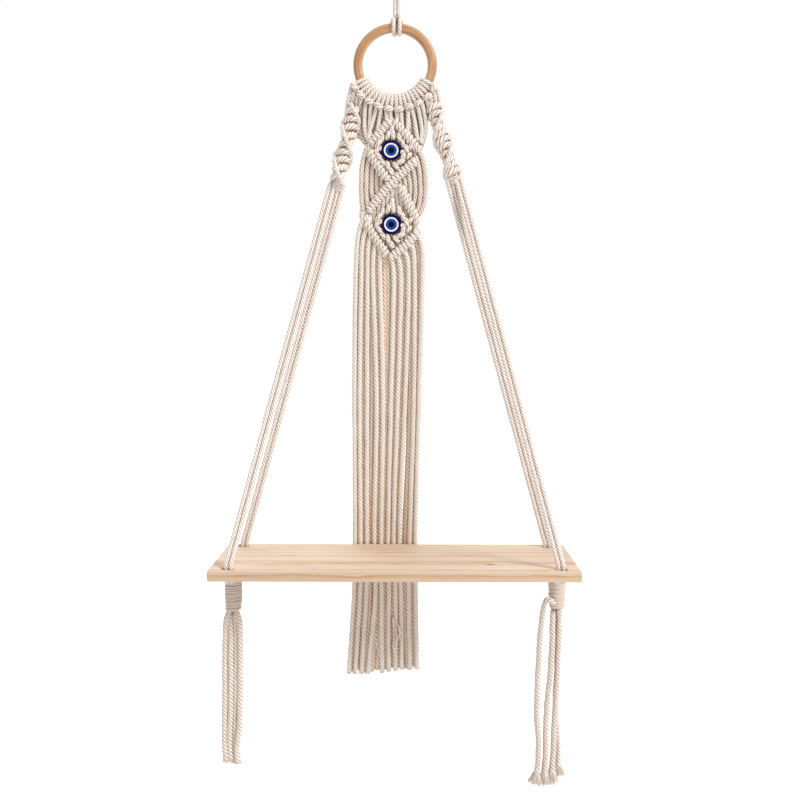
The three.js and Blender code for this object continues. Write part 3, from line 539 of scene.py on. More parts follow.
class Bundle:
    """Lengths of laid cord and loose fibres that become one mesh."""

    def __init__(self, seed: int) -> None:
        """Start empty.

        Args:
            seed: The seed of its small irregularities.
        """
        self.chance = np.random.default_rng(int(seed))
        self.points: list[np.ndarray] = []
        self.faces: list[tuple[int, ...]] = []
        self.crest: list[np.ndarray] = []
        self.weave: list[np.ndarray] = []
        self.count = 0

    def skin(self, rings: np.ndarray, crest: np.ndarray, weave: np.ndarray) -> None:
        """Add a tube over rings of points, closed with a fan at both ends.

        Args:
            rings: Points, one row of sides for each ring.
            crest: The crest value of each point.
            weave: The weave coordinate of each point.
        """
        number, sides = rings.shape[:2]
        index = self.count + np.arange(number * sides).reshape(number, sides)
        following = np.roll(index, -1, axis=1)
        quads = np.stack([index[:-1], following[:-1], following[1:], index[1:]], -1).reshape(-1, 4)
        self.faces.extend(map(tuple, quads.tolist()))
        self.points.append(rings.reshape(-1, 3))
        self.crest.append(crest.reshape(-1))
        self.weave.append(weave.reshape(-1, 3))
        self.count += number * sides
        for end, rim in ((0, index[0][::-1]), (number - 1, index[-1])):
            self.points.append(rings[end].mean(0)[None])
            self.crest.append(np.array([0.5]))
            self.weave.append(weave[end].mean(0)[None])
            self.faces.extend((int(a), int(b), self.count) for a, b in zip(rim, np.roll(rim, -1)))
            self.count += 1

    def lay(self, path: np.ndarray, lay: Lay, swell: np.ndarray | None = None, wobble: float = 0.25) -> np.ndarray:
        """Add a length of laid cord.

        Args:
            path: Its centre line, in millimetres.
            lay: How it is laid.
            swell: The share of its radius along the path, any number of values.
            wobble: How far its centre line strays.

        Returns:
            Its centre line as made.
        """
        line = even(np.asarray(path, float), lay.step)
        along = lengths(line)
        tangents, sides, lifts = frames(line)
        if wobble:
            ease = np.clip(np.minimum(along, along[-1] - along) / STEADY_END, 0, 1)
            for across in (sides, lifts):
                shift = np.zeros(len(line))
                for wave in STRAY_WAVES:
                    shift += np.sin(along / wave * TURN + self.chance.uniform(0, TURN)) * self.chance.uniform(0.3, 1)
                line = line + across * (shift * ease * wobble / 2)[:, None]
            tangents, sides, lifts = frames(line)
        angles = np.arange(lay.plies * lay.points_per_ply) / (lay.plies * lay.points_per_ply) * TURN
        crest = np.abs(np.cos(angles * lay.plies / 2)) ** CREST_POWER
        profile = 1 - lay.groove + lay.groove * crest
        size = np.full(len(line), lay.radius)
        if swell is not None:
            size = size * np.interp(along / along[-1], np.linspace(0, 1, len(swell)), swell)
        size = size * (1 + UNEVEN_SHARE * np.sin(along / UNEVEN_WAVE * TURN + self.chance.uniform(0, TURN)))
        turn = lay.hand * TURN * along / lay.pitch + self.chance.uniform(0, TURN)
        rows = [(0, -reach * CAP_REACH, scale) for reach, scale in CAP_ROWS]
        rows += [(i, 0.0, 1.0) for i in range(len(line))]
        rows += [(len(line) - 1, reach * CAP_REACH, scale) for reach, scale in reversed(CAP_ROWS)]
        pick = np.array([row[0] for row in rows])
        reach = np.array([row[1] for row in rows]) * size[pick]
        scale = np.array([row[2] for row in rows])
        centres = line[pick] + tangents[pick] * reach[:, None]
        around = angles[None, :] + (turn[pick] + lay.hand * TURN * reach / lay.pitch)[:, None]
        radii = (size[pick] * scale)[:, None] * profile[None, :]
        rings = (centres[:, None, :] + (radii * np.cos(around))[..., None] * sides[pick][:, None, :]
                 + (radii * np.sin(around))[..., None] * lifts[pick][:, None, :])
        weave = np.empty_like(rings)
        weave[..., 0] = lay.radius * np.cos(angles)[None, :] * MM
        weave[..., 1] = lay.radius * np.sin(angles)[None, :] * MM
        weave[..., 2] = ((along[pick] + reach) * MM)[:, None]
        self.skin(rings, np.broadcast_to(crest[None, :], radii.shape), weave)
        return line

    def fray(self, tip: np.ndarray, direction: np.ndarray, reach: float, count: int, spread: float,
             core: float = 2.0) -> None:
        """Add loose fibres at a cut end.

        Args:
            tip: Where the cord ends, in millimetres.
            direction: Which way the cord runs there.
            reach: The fibres' length.
            count: How many there are.
            spread: How far they open, as a share of their length.
            core: The radius of the bunch where it starts.
        """
        direction = unit(direction)
        helper = np.eye(3)[int(np.argmin(np.abs(direction)))]
        across = unit(np.cross(direction, helper))
        other = np.cross(direction, across)
        angles = np.arange(3) / 3 * TURN
        for _ in range(count):
            angle, share = self.chance.uniform(0, TURN), math.sqrt(self.chance.uniform(0.05, 1))
            out = across * math.cos(angle) + other * math.sin(angle)
            long = reach * self.chance.uniform(0.8, 1)
            start = tip + out * core * share - direction * reach * 0.3
            bend = self.chance.normal(0, 0.08, 3)
            shares = np.linspace(0, 1, 6)
            line = start + direction * (shares * long)[:, None]
            line = line + out * (shares ** 1.5 * long * spread * share)[:, None]
            line = line + bend * (shares ** 2 * long)[:, None]
            tangents, sides, lifts = frames(line)
            width = self.chance.uniform(*FIBRE_RADIUS) * (1 - 0.5 * shares)
            rings = (line[:, None, :] + (width[:, None] * np.cos(angles))[..., None] * sides[:, None, :]
                     + (width[:, None] * np.sin(angles))[..., None] * lifts[:, None, :])
            crest = np.full(rings.shape[:2], self.chance.uniform(0.45, 1))
            self.skin(rings, crest, rings * MM)

    def piece(self, name: str, finish: bpy.types.Material) -> bpy.types.Object:
        """Make the mesh.

        Args:
            name: The piece's name.
            finish: Its material.

        Returns:
            The new object, at the origin, in metres.
        """
        mesh = bpy.data.meshes.new(name)
        mesh.from_pydata((np.vstack(self.points) * MM).tolist(), [], self.faces)
        mesh.attributes.new("crest", "FLOAT", "POINT").data.foreach_set("value", np.concatenate(self.crest))
        mesh.attributes.new("weave", "FLOAT_VECTOR", "POINT").data.foreach_set(
            "vector", np.vstack(self.weave).ravel())
        mesh.materials.append(finish)
        mesh.update()
        mesh.shade_smooth()
        made = bpy.data.objects.new(name, mesh)
        bpy.context.scene.collection.objects.link(made)
        return made

    def stand_in(self, node: str, finish: bpy.types.Material, body: str) -> bpy.types.Object:
        """Make the mesh that stands in for a node and rides on its body.

        Args:
            node: The node's name.
            finish: Its material.
            body: The body's name.

        Returns:
            The new object.
        """
        made = self.piece(node + "_rope", finish)
        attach(made, body)
        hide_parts(node)
        log.info("%s", made.name)
        return made


def declare(piece: bpy.types.Object, path: np.ndarray) -> None:
    """Log a free cord's name and the length of its path.

    Args:
        piece: The cord's mesh.
        path: Its centre line, in millimetres.
    """
    log.info("%s: %.0f mm", piece.name, lengths(path)[-1])


def settle(piece: bpy.types.Object, node: str, body: str) -> None:
    """Let a solid piece stand in for a node.

    Args:
        piece: The piece.
        node: The node's name.
        body: The body that it rides on.
    """
    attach(piece, body)
    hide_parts(node)
    log.info("%s", piece.name)


# ---------------------------------------------------------------- places


@dataclass(frozen=True)
class Places:
    """The driving places of the shelf, in millimetres, as the frame has them."""

    ring_outer: float = 95
    ring_section: float = 10.5
    hook_to_ring: float = 70
    ring_to_board: float = 557.5
    board_length: float = 400
    board_depth: float = 130
    board_thickness: float = 11
    board_y: float = -4
    hole_end_inset: float = 20
    hole_edge_inset: float = 12
    hole_diameter: float = 13
    panel_drop: float = 55.5
    panel_half_width: float = 31
    diamond_pitch: float = 80
    wrap_sideways: float = 183
    wrap_top_drop: float = 16
    wrap_height: float = 30.34
    pivot_z: float = -735.14

    @property
    def tube(self) -> float:
        """Half the ring's section."""
        return self.ring_section / 2

    @property
    def ring_radius(self) -> float:
        """The radius of the ring's centre line."""
        return self.ring_outer / 2 - self.tube

    @property
    def ring_z(self) -> float:
        """The height of the ring's centre."""
        return -(self.hook_to_ring + self.ring_outer / 2)

    @property
    def board_top(self) -> float:
        """The height of the board's top."""
        return self.ring_z - self.ring_to_board

    @property
    def board_under(self) -> float:
        """The height of the board's underside."""
        return self.board_top - self.board_thickness

    @property
    def panel_top(self) -> float:
        """The height at which the diamonds begin."""
        return self.ring_z - self.panel_drop

    @property
    def panel_foot_y(self) -> float:
        """How far back the panel lies at the board."""
        return self.board_y + self.board_depth / 2 + 2.95

    @property
    def panel_slope(self) -> float:
        """How far the panel leans back for each millimetre down."""
        return (self.panel_foot_y + 7.75) / (self.panel_top - self.board_top)

    def panel_y(self, z: float) -> float:
        """How far back the panel lies at a height."""
        return self.panel_foot_y if z < self.board_top else -7.75 + (self.panel_top - z) * self.panel_slope

    def on_panel(self, x: float, z: float, behind: float = 0) -> Point:
        """A point on the panel, or behind it."""
        return (x, self.panel_y(z) + behind, z)

    def shared(self, across: float, down: float) -> Point:
        """A point on the panel, by shares of its half width and its pitch."""
        return self.on_panel(across * self.panel_half_width, self.panel_top - down * self.diamond_pitch)

    def ring_place(self, psi: float, sideways: float, outwards: float, y: float) -> Point:
        """A point by the ring.

        Args:
            psi: The angle along the ring.
            sideways: How far along the ring from there, at its centre line.
            outwards: How far out from its centre line.
            y: How far back.

        Returns:
            The point.
        """
        angle = psi + sideways / self.ring_radius
        reach = self.ring_radius + outwards
        return (reach * math.cos(angle), y, self.ring_z + reach * math.sin(angle))


PLACES = Places()
FREE = Lay()
KNOT = Lay(diameter=4.6, pitch=15.0)


@dataclass
class Camera:
    """The camera of the photograph."""

    location: Point = (0.01596, -1.0944, -0.4112)
    turn: float = 0.0094
    lens: float = 43.384
    shift: float = -0.0951

    def build(self) -> None:
        """Make the camera and look through it."""
        data = bpy.data.cameras.new("camera")
        data.lens, data.sensor_width, data.shift_y = self.lens, 36, self.shift
        data.clip_start, data.clip_end = 0.02, 60
        camera = bpy.data.objects.new("camera", data)
        bpy.context.scene.collection.objects.link(camera)
        camera.location = self.location
        camera.rotation_euler = (math.pi / 2, 0, self.turn)
        bpy.context.scene.camera = camera


# ---------------------------------------------------------------- free cords


@dataclass
class SideCords:
    """The taut cords from each sinnet through the board to its wrap."""

    start_z: dict[Side, float] = by_side(-256.6, -247.8)
    start_x: tuple[float, ...] = (73.8, 68.5, 63.2, 57.9)
    start_y: float = -3
    spacing: float = 5.3
    inwards: float = 1.1
    leave: tuple[tuple[float, float], ...] = ((3, 0.6), (9, 2))
    gather: tuple[tuple[float, float], ...] = ((15, 2.8), (6.4, 4.6))

    def route(self, side: Side, front: int, place: int) -> np.ndarray:
        """The centre line of one cord.

        Args:
            side: Its side.
            front: -1 for the front hole and 1 for the rear one.
            place: 0 for the outer cord and 1 for the inner one.

        Returns:
            Its points, in millimetres.
        """
        sign, outer = side.value, 0.5 if place == 0 else -0.5
        p = PLACES
        x = sign * (p.board_length / 2 - p.hole_end_inset + outer * self.spacing - self.inwards)
        bundle_x = sign * (p.wrap_sideways + outer * self.spacing)
        y = p.board_y + front * (p.board_depth / 2 - p.hole_edge_inset)
        under = p.board_under - 2.5
        top = (sign * self.start_x[(0 if front < 0 else 2) + place], self.start_y, self.start_z[side] + 3)
        entry = (x, y, p.board_top + 5)
        bend = spline([entry, (x, y, p.board_under + 2.5)]
                      + [(x, y - front * back, under - down) for back, down in self.leave]
                      + [(bundle_x, p.board_y + front * out, under - down) for out, down in self.gather]
                      + [(bundle_x, p.board_y + front * self.spacing / 2, p.board_under - p.wrap_top_drop + drop)
                         for drop in (5, -2.5, -12)]
                      + [(bundle_x, p.board_y + front * self.spacing / 2, p.pivot_z + 5)])
        return np.vstack([np.linspace(top, entry, 60, endpoint=False), bend])

    def build(self, cotton: bpy.types.Material) -> None:
        """Make the eight cords."""
        for side in Side:
            for word, front in (("front", -1), ("rear", 1)):
                for place in (0, 1):
                    name = f"{side.word}_{word}_side_cord_{place + 1}"
                    bundle = Bundle(Seed.SIDE_CORD + 7 * place + front + 40 * side.value)
                    path = bundle.lay(self.route(side, front, place), FREE, wobble=0.12)
                    declare(bundle.stand_in(name, cotton, "shelf"), path)


TAILS: dict[str, tuple[tuple[int, int], list[Point]]] = {
    "left_tail_1": ((-1, -1), [(-187.6, -6.6, -737), (-190.6, -8, -747), (-191.4, -8, -768),
                               (-191.8, -8, -836), (-192, -8, -885), (-190.4, -8, -901)]),
    "left_tail_2": ((1, -1), [(-178.6, -6.6, -737), (-175.4, -7.6, -748), (-174.6, -7.6, -768), (-174.8, -7.6, -836),
                              (-176, -8, -870), (-178.4, -8, -893), (-177.4, -8, -903)]),
    "left_tail_3": ((1, 1), [(-181, -4, -738), (-180, -5.2, -749), (-179.8, -5.4, -769), (-180, -5.4, -837),
                             (-181.4, -5.4, -884), (-180.8, -5.4, -903)]),
    "left_tail_4": ((-1, 1), [(-186, -3.4, -738), (-185.8, -6, -752), (-185.4, -7.4, -768), (-185.5, -7.4, -838),
                              (-186.6, -7.4, -886), (-185.8, -7.4, -900)]),
    "right_tail_1": ((-1, -1), [(167.9, -12.6, -724), (166.4, -11.6, -732), (165.2, -10, -742),
                                (163.8, -9, -756), (161.7, -9, -791), (159.9, -9, -823), (159.7, -9, -853),
                                (161.6, -9, -882), (161, -9, -903), (159.4, -9, -916)]),
    "right_tail_2": ((-1, 1), [(178.6, -5, -736), (177.6, -7, -747), (177.1, -7, -766), (174.9, -7, -805),
                               (171.1, -7, -844), (169.9, -7, -875), (169.6, -7, -899), (168.6, -7, -917)]),
    "right_tail_3": ((1, -1), [(185.2, -6, -736), (185.3, -5, -754), (183.8, -5, -793), (181.7, -5, -832),
                               (179.7, -5, -865), (178.8, -5, -892), (177, -5, -917)]),
    "right_tail_4": ((1, 1), [(183.8, -1, -740), (184.8, 1, -770), (183.1, 1, -815), (181.8, 1, -838),
                              (183.3, 1, -866), (184.6, 1, -888), (184.8, 1, -911)]),
}


@dataclass
class Tails:
    """The loose tails under the wraps, with frayed ends."""

    diameter: float = 7.0
    beside: float = 2.65
    top: dict[Side, float] = by_side(-1.5, 3.5)
    fray_reach: dict[Side, float] = by_side(7, 17)
    fibres: dict[Side, int] = by_side(110, 260)
    core: float = 2.7
    spread: float = 0.4

    def build(self, cotton: bpy.types.Material, loose_cotton: bpy.types.Material) -> None:
        """Make the eight tails."""
        p = PLACES
        for number, (name, ((across, back), points)) in enumerate(TAILS.items()):
            side = Side.LEFT if name.startswith("left") else Side.RIGHT
            x = side.value * p.wrap_sideways + across * self.beside
            y = p.board_y + back * self.beside
            top = p.pivot_z + self.top[side]
            start = [] if points[0][2] > top else [(x, y, top + 11), (x, y, top + 4)]
            swell = np.array([0.86] + [1.0] * 24 + [1.04, 1.16])
            bundle = Bundle(Seed.TAIL + number)
            line = bundle.lay(spline([*start, *points]), Lay(self.diameter), swell, wobble=0.3)
            piece = bundle.piece(name + "_rope", cotton)
            loose = Bundle(Seed.TAIL_END + number)
            loose.fray(line[-1], line[-1] - line[-4], self.fray_reach[side], self.fibres[side], self.spread, self.core)
            frayed = loose.piece(name + "_frayed_end", loose_cotton)
            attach(frayed, f"{side.word}_tassel")
            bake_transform(piece)
            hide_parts(name)
            declare(piece, line)


FRINGE: dict[str, tuple[float, list[tuple[float, float]]]] = {
    "01": (0, [(-36.2, -291.1), (-40.3, -301.2), (-43, -314.8), (-44.4, -331.9), (-45.5, -354.7),
               (-46.9, -406.6), (-48.2, -500.7), (-49.1, -670.8), (-50.2, -731.1), (-56.4, -828)]),
    "02": (0, [(-31.1, -299), (-35.8, -309.1), (-38.1, -322.8), (-39.3, -354.7), (-42.2, -500.7),
               (-42.3, -670.8), (-42.7, -731), (-48.6, -828)]),
    "03": (0, [(-26, -306.9), (-30.1, -315.9), (-31.5, -331.9), (-32.1, -354.7), (-33.5, -500.7),
               (-34.8, -670.8), (-35.2, -731), (-41, -828)]),
    "04": (0, [(-20.9, -314.8), (-24, -323.9), (-25.6, -337.6), (-25.7, -358.2), (-22.3, -500.7),
               (-25.9, -670.8), (-24.3, -731), (-33.2, -828)]),
    "05": (0, [(-15.7, -322.8), (-17.5, -333), (-17.6, -349), (-17.3, -366.2), (-14.7, -500.7),
               (-17.7, -670.7), (-17, -731), (-16.4, -827)]),
    "06": (0, [(-4.8, -334.2), (-2.6, -344.4), (-1.9, -360.5), (-5.3, -500.7), (-9.2, -670.7),
               (-8.3, -730.9), (-8.6, -825)]),
    "07": (0, [(0.9, -329.6), (4.9, -339.9), (6.4, -355.9), (2.6, -500.7), (-2.6, -670.7), (-0.3, -730.9),
               (-0.4, -824)]),
    "08": (0, [(7.8, -322.8), (13.6, -334.2), (15.2, -351.3), (11.2, -500.6), (4.4, -670.7), (6.3, -730.9),
               (7, -823)]),
    "09": (0, [(15.9, -314.9), (20.9, -326.2), (22.1, -344.5), (21.6, -500.6), (16.6, -670.7),
               (15.6, -730.9), (17, -823)]),
    "10": (0, [(23.3, -305.8), (28.5, -313.7), (31.5, -328.5), (31.3, -354.8), (27.6, -500.6),
               (23.6, -670.7), (24.1, -730.9), (25.4, -822)]),
    "11": (5.6, [(-12, -336), (-12.6, -352), (-19, -420), (-28, -500), (-29.9, -670), (-29, -727), (-25.4, -825)]),
    "12": (5.6, [(-4, -340), (-2.4, -354), (6, -420), (15.2, -500), (10, -670), (10.2, -727), (11.6, -823)]),
}


HIND: list[list[tuple[float, float]]] = [
    [(-33.6, -295), (-39.5, -305.2), (-42.4, -320), (-43, -342.9), (-45.6, -501.2), (-46, -672.2),
     (-46.9, -732.7), (-50, -799.2), (-53.4, -827)],
    [(-29.1, -302.9), (-33.7, -310.9), (-35.7, -325.7), (-36.1, -354.4), (-38.1, -501.2), (-38.8, -672.2),
     (-39.2, -732.7), (-42.1, -826.9)],
    [(-18.8, -318.9), (-21.1, -330.3), (-21.8, -354.4), (-18.6, -501.1), (-22, -672.1), (-21.8, -732.6),
     (-25.4, -780), (-29.4, -826.9)],
    [(-9.8, -331.5), (-8.2, -344.1), (-7.6, -360.2), (-10.3, -501.1), (-13.7, -672.1), (-13.3, -732.6),
     (-12.5, -824.4)],
    [(-2, -331.5), (1.5, -341.8), (2.1, -357.9), (-1.4, -501.1), (-6.1, -672.1), (-4.4, -732.6),
     (-4, -822)],
    [(4.3, -325.7), (9.5, -337.2), (10.9, -355.6), (6.8, -501.1), (0.8, -672.1), (3.2, -732.6),
     (2.6, -821.9)],
    [(19.9, -309.8), (25.7, -321.2), (27.7, -337.2), (27.8, -354.4), (24.7, -501.1), (20.1, -672),
     (19.9, -732.5), (21.3, -820.7)],
    [(-27.7, -312), (-28.5, -321.1), (-28.1, -340), (-28.3, -372), (-27.4, -442), (-27.4, -501), (-28.6, -549),
     (-29.7, -622.6), (-31, -696), (-31.6, -744.7), (-32.2, -769), (-34.4, -793), (-37, -827.4)],
    [(13.6, -309.8), (17.3, -325.8), (18.9, -348.7), (19.1, -383.3), (18.5, -418.3), (17.6, -453.6),
     (17.3, -501.1), (15.9, -561.3), (13.5, -622.5), (11.7, -678), (11.1, -744.6), (12.3, -793), (14, -822)],
    [(-13.4, -329), (-12.6, -345), (-12.2, -372), (-12.8, -420), (-13.6, -501), (-14, -622), (-14.8, -672),
     (-17.4, -725), (-18.8, -790), (-21.6, -825)],
]


@dataclass
class Fringe:
    """The long strands that hang behind the board."""

    lay: Lay = Lay(diameter=5.7, pitch=18.5)
    hind_lay: Lay = Lay(diameter=7.4, pitch=20.0)
    fray_reach: float = 6
    fibres: int = 44
    spread: float = 0.2
    core: float = 2.3
    hind: float = 4.0
    step: float = 2.0
    smooth: int = 4
    thread: Lay = Lay(diameter=1.5, pitch=8, plies=2)
    unravelled: tuple[tuple[Point, ...], ...] = (
        ((-3.3, -3, -763.7), (1.4, -4.4, -769.8), (5.4, -4.8, -778.4), (2.8, -4.6, -788.9), (-0.7, -4.2, -799.4),
         (-1.5, -3.8, -808.9)),
        ((-3.3, -3, -764.7), (-0.7, -4.6, -773.2), (1.6, -4.9, -781.9), (-0.3, -4.4, -792.4), (-2, -4, -806)),
        ((-3.6, -3, -765), (-2.4, -4.4, -785.4), (-2.8, -4.4, -799.4), (0.2, -4, -806.3)),
        ((-3.4, -3, -764), (2.8, -4.8, -772.5), (4.2, -5.2, -781), (0.8, -5, -796), (0.4, -4.6, -812)),
    )

    def route(self, behind: float, points: list[tuple[float, float]]) -> np.ndarray:
        """A strand's centre line.

        Args:
            behind: How far behind the panel it lies.
            points: Its places across and up.

        Returns:
            Its points, in millimetres.
        """
        p = PLACES
        flat = spline([(x, 0, z) for x, z in points])
        flat[:, 1] = [p.panel_y(z) + behind for z in flat[:, 2]]
        line = even(flat, self.step)
        weights = np.exp(-np.linspace(-2, 2, 2 * self.smooth + 1) ** 2)
        first, last = (np.repeat(line[end:end + 1 or None, 1], self.smooth) for end in (0, -1))
        padded = np.concatenate([first, line[:, 1], last])
        line[:, 1] = np.maximum(line[:, 1], np.convolve(padded, weights / weights.sum(), "valid"))
        return line

    def build(self, cotton: bpy.types.Material, hind_cotton: bpy.types.Material,
              loose_cotton: bpy.types.Material) -> None:
        """Make the strands."""
        strands = [(f"fringe_strand_{number}", *route) for number, route in FRINGE.items()]
        strands += [(f"hind_strand_{i + 1}", self.hind, points) for i, points in enumerate(HIND)]
        for number, (name, behind, points) in enumerate(strands):
            has_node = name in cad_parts
            lay = self.lay if has_node else self.hind_lay
            bundle = Bundle(Seed.STRAND + number)
            line = bundle.lay(self.route(behind, points), lay, wobble=0.18)
            piece = bundle.piece(name + "_rope", cotton if has_node else hind_cotton)
            loose = Bundle(Seed.STRAND_END + number)
            loose.fray(line[-1], line[-1] - line[-4], self.fray_reach, self.fibres, self.spread, self.core)
            if name == "fringe_strand_07":
                for thread in self.unravelled:
                    places = [PLACES.on_panel(x, z, further) for x, further, z in thread]
                    loose.lay(spline(places), self.thread, wobble=0.6)
            frayed = loose.piece(name + "_frayed_end", loose_cotton)
            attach(frayed, "panel")
            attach(piece, "panel")
            if has_node:
                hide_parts(name)
            declare(piece, line)


@dataclass
class HangingCord:
    """The doubled cord from the hook to the hitch, with its overhand knot."""

    lay: Lay = Lay(diameter=4.5, pitch=15.0)
    half_spacing: float = 2.1
    loop_half_width: float = 7.5
    foot: float = -58.7
    knot_z: float = -34
    aside: float = 2.0

    def build(self, cotton: bpy.types.Material) -> None:
        """Make the loop and its knot."""
        half, wide = self.half_spacing, self.loop_half_width
        path = spline([
            (-half, 0, self.foot), (-half, 0, -50), (-half, 0, -38), (-half, 0, -28), (-wide, 0, -13),
            (-wide * 0.75, 0, -3.2), (0, 0, self.lay.radius), (wide * 0.75, 0, -3.2), (wide, 0, -13),
            (half, 0, -28), (half, 0, -38), (half, 0, -50), (half, 0, self.foot),
        ])
        path[:, 0] += self.aside * np.clip(path[:, 2] / -38, 0, 1)
        bundle = Bundle(Seed.HANGING_CORD)
        line = bundle.lay(path, self.lay, wobble=0.1)
        piece = bundle.piece("hanging_cord_rope", cotton)
        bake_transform(piece)
        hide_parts("hanging_cord")
        declare(piece, line)
        turns = np.linspace(0, 2.6, 70)
        coil = np.stack([
            6.4 * np.cos(turns * TURN), 4.5 * np.sin(turns * TURN), self.knot_z + 4.4 - turns * 3.5,
        ], 1)
        over = spline([tuple(coil[-1]), (7.6, -5.6, self.knot_z - 2), (-1, -8.0, self.knot_z),
                       (-7.4, -4.4, self.knot_z + 3.4), (-3.6, 2.2, self.knot_z + 5.4)])
        knot = Bundle(Seed.LOOP_KNOT)
        knot.lay(np.vstack([coil, over[1:]]) + np.array([self.aside * 0.9, 0, 0]), KNOT, wobble=0)
        knot.stand_in("loop_knot", cotton, "hanger")


# ---------------------------------------------------------------- knots


@dataclass
class Hitch:
    """The hitch of the hanging cord on the ring's top, with its bar behind."""

    lay: Lay = Lay(diameter=4.5, pitch=15.0)
    inner: float = 2.1
    outer: float = 3.5
    rho: float = 7.75
    foot: float = -58.2
    aside: float = 2.0

    def build(self, cotton: bpy.types.Material) -> None:
        """Make the hitch."""
        p = PLACES
        top = p.ring_z + p.ring_radius
        half = [
            (self.inner, 0, self.foot), (self.inner, 1.6, top + 12), (self.inner, self.rho - 0.6, top + 4.5),
            (self.inner, self.rho, top), (self.inner + 0.5, self.rho * 0.71, top - self.rho * 0.71),
            (self.outer - 0.3, 0, top - self.rho), (self.outer, -self.rho * 0.71, top - self.rho * 0.71),
            (self.outer, -self.rho, top), (self.outer, -self.rho * 0.8, top + 5.2),
            (self.outer + 0.3, -2.0, top + 9.4), (self.outer + 1.4, 5.0, top + 9.0),
            (self.outer + 1.2, 10.4, top + 6.6), (self.outer - 1.2, 12.2, top + 5.4),
        ]
        mirrored = [(-x, y, z) for x, y, z in reversed(half)]
        bundle = Bundle(Seed.HITCH)
        bundle.lay(spline([*half, *mirrored]) + np.array([self.aside, 0, 0]), self.lay, wobble=0)
        bundle.stand_in("hanging_hitch", cotton, "hitch")


LEGS: list[tuple[list[Point], list[Point]]] = [
    ([(-51, -8, -152), (-53.5, -6, -163), (-54, -5, -170)],
     [(-46.2, -8.5, -154.5), (-48.6, -6, -163), (-47, -5, -170)]),
    ([(-42.6, -8.5, -158), (-43.9, -6, -163.5), (-45, -5, -170)],
     [(-38, -9, -159), (-39.6, -6, -165), (-43, -5, -172)]),
    ([(-33, -9, -165), (-34.6, -6.5, -181), (-33, -4.4, -197), (-28.4, -3, -206)],
     [(-27, -9, -166), (-28.4, -5.6, -181), (-29.4, -5, -200)]),
    ([(-21.4, -9, -170), (-24.4, -6.8, -180), (-28.4, -6, -193), (-29.6, -5, -201)],
     [(-16, -9, -171), (-17.6, -6.6, -180), (-19.6, -6, -192)]),
    ([(-9.5, -9, -173), (-9, -7.5, -184)], [(-5, -9, -173), (-4, -7.5, -184)]),
    ([(2.4, -9, -173), (2.6, -7.5, -184)], [(7, -9, -173), (8.5, -7, -190)]),
    ([(14.5, -9, -171), (14.2, -7, -196)], [(19.2, -9, -170), (21.8, -6.2, -180), (23.8, -5.6, -192),
                                            (25.6, -5, -203)]),
    ([(25.6, -9, -166.5), (28.6, -6.2, -179), (30.4, -5, -192), (29.2, -5, -205)],
     [(30.6, -9, -164.4), (34, -6, -178), (34.6, -4.4, -192), (30.4, -3, -206)]),
    ([(35.6, -8.5, -158), (36.9, -7, -164), (40, -6, -172)], [(40, -8.5, -156), (41.4, -7, -163), (44, -6, -170)]),
    ([(44.2, -8.5, -152.5), (46.2, -7, -162), (47, -6, -170)], [(48, -8, -150), (50.8, -7, -162), (50, -6, -170)]),
]


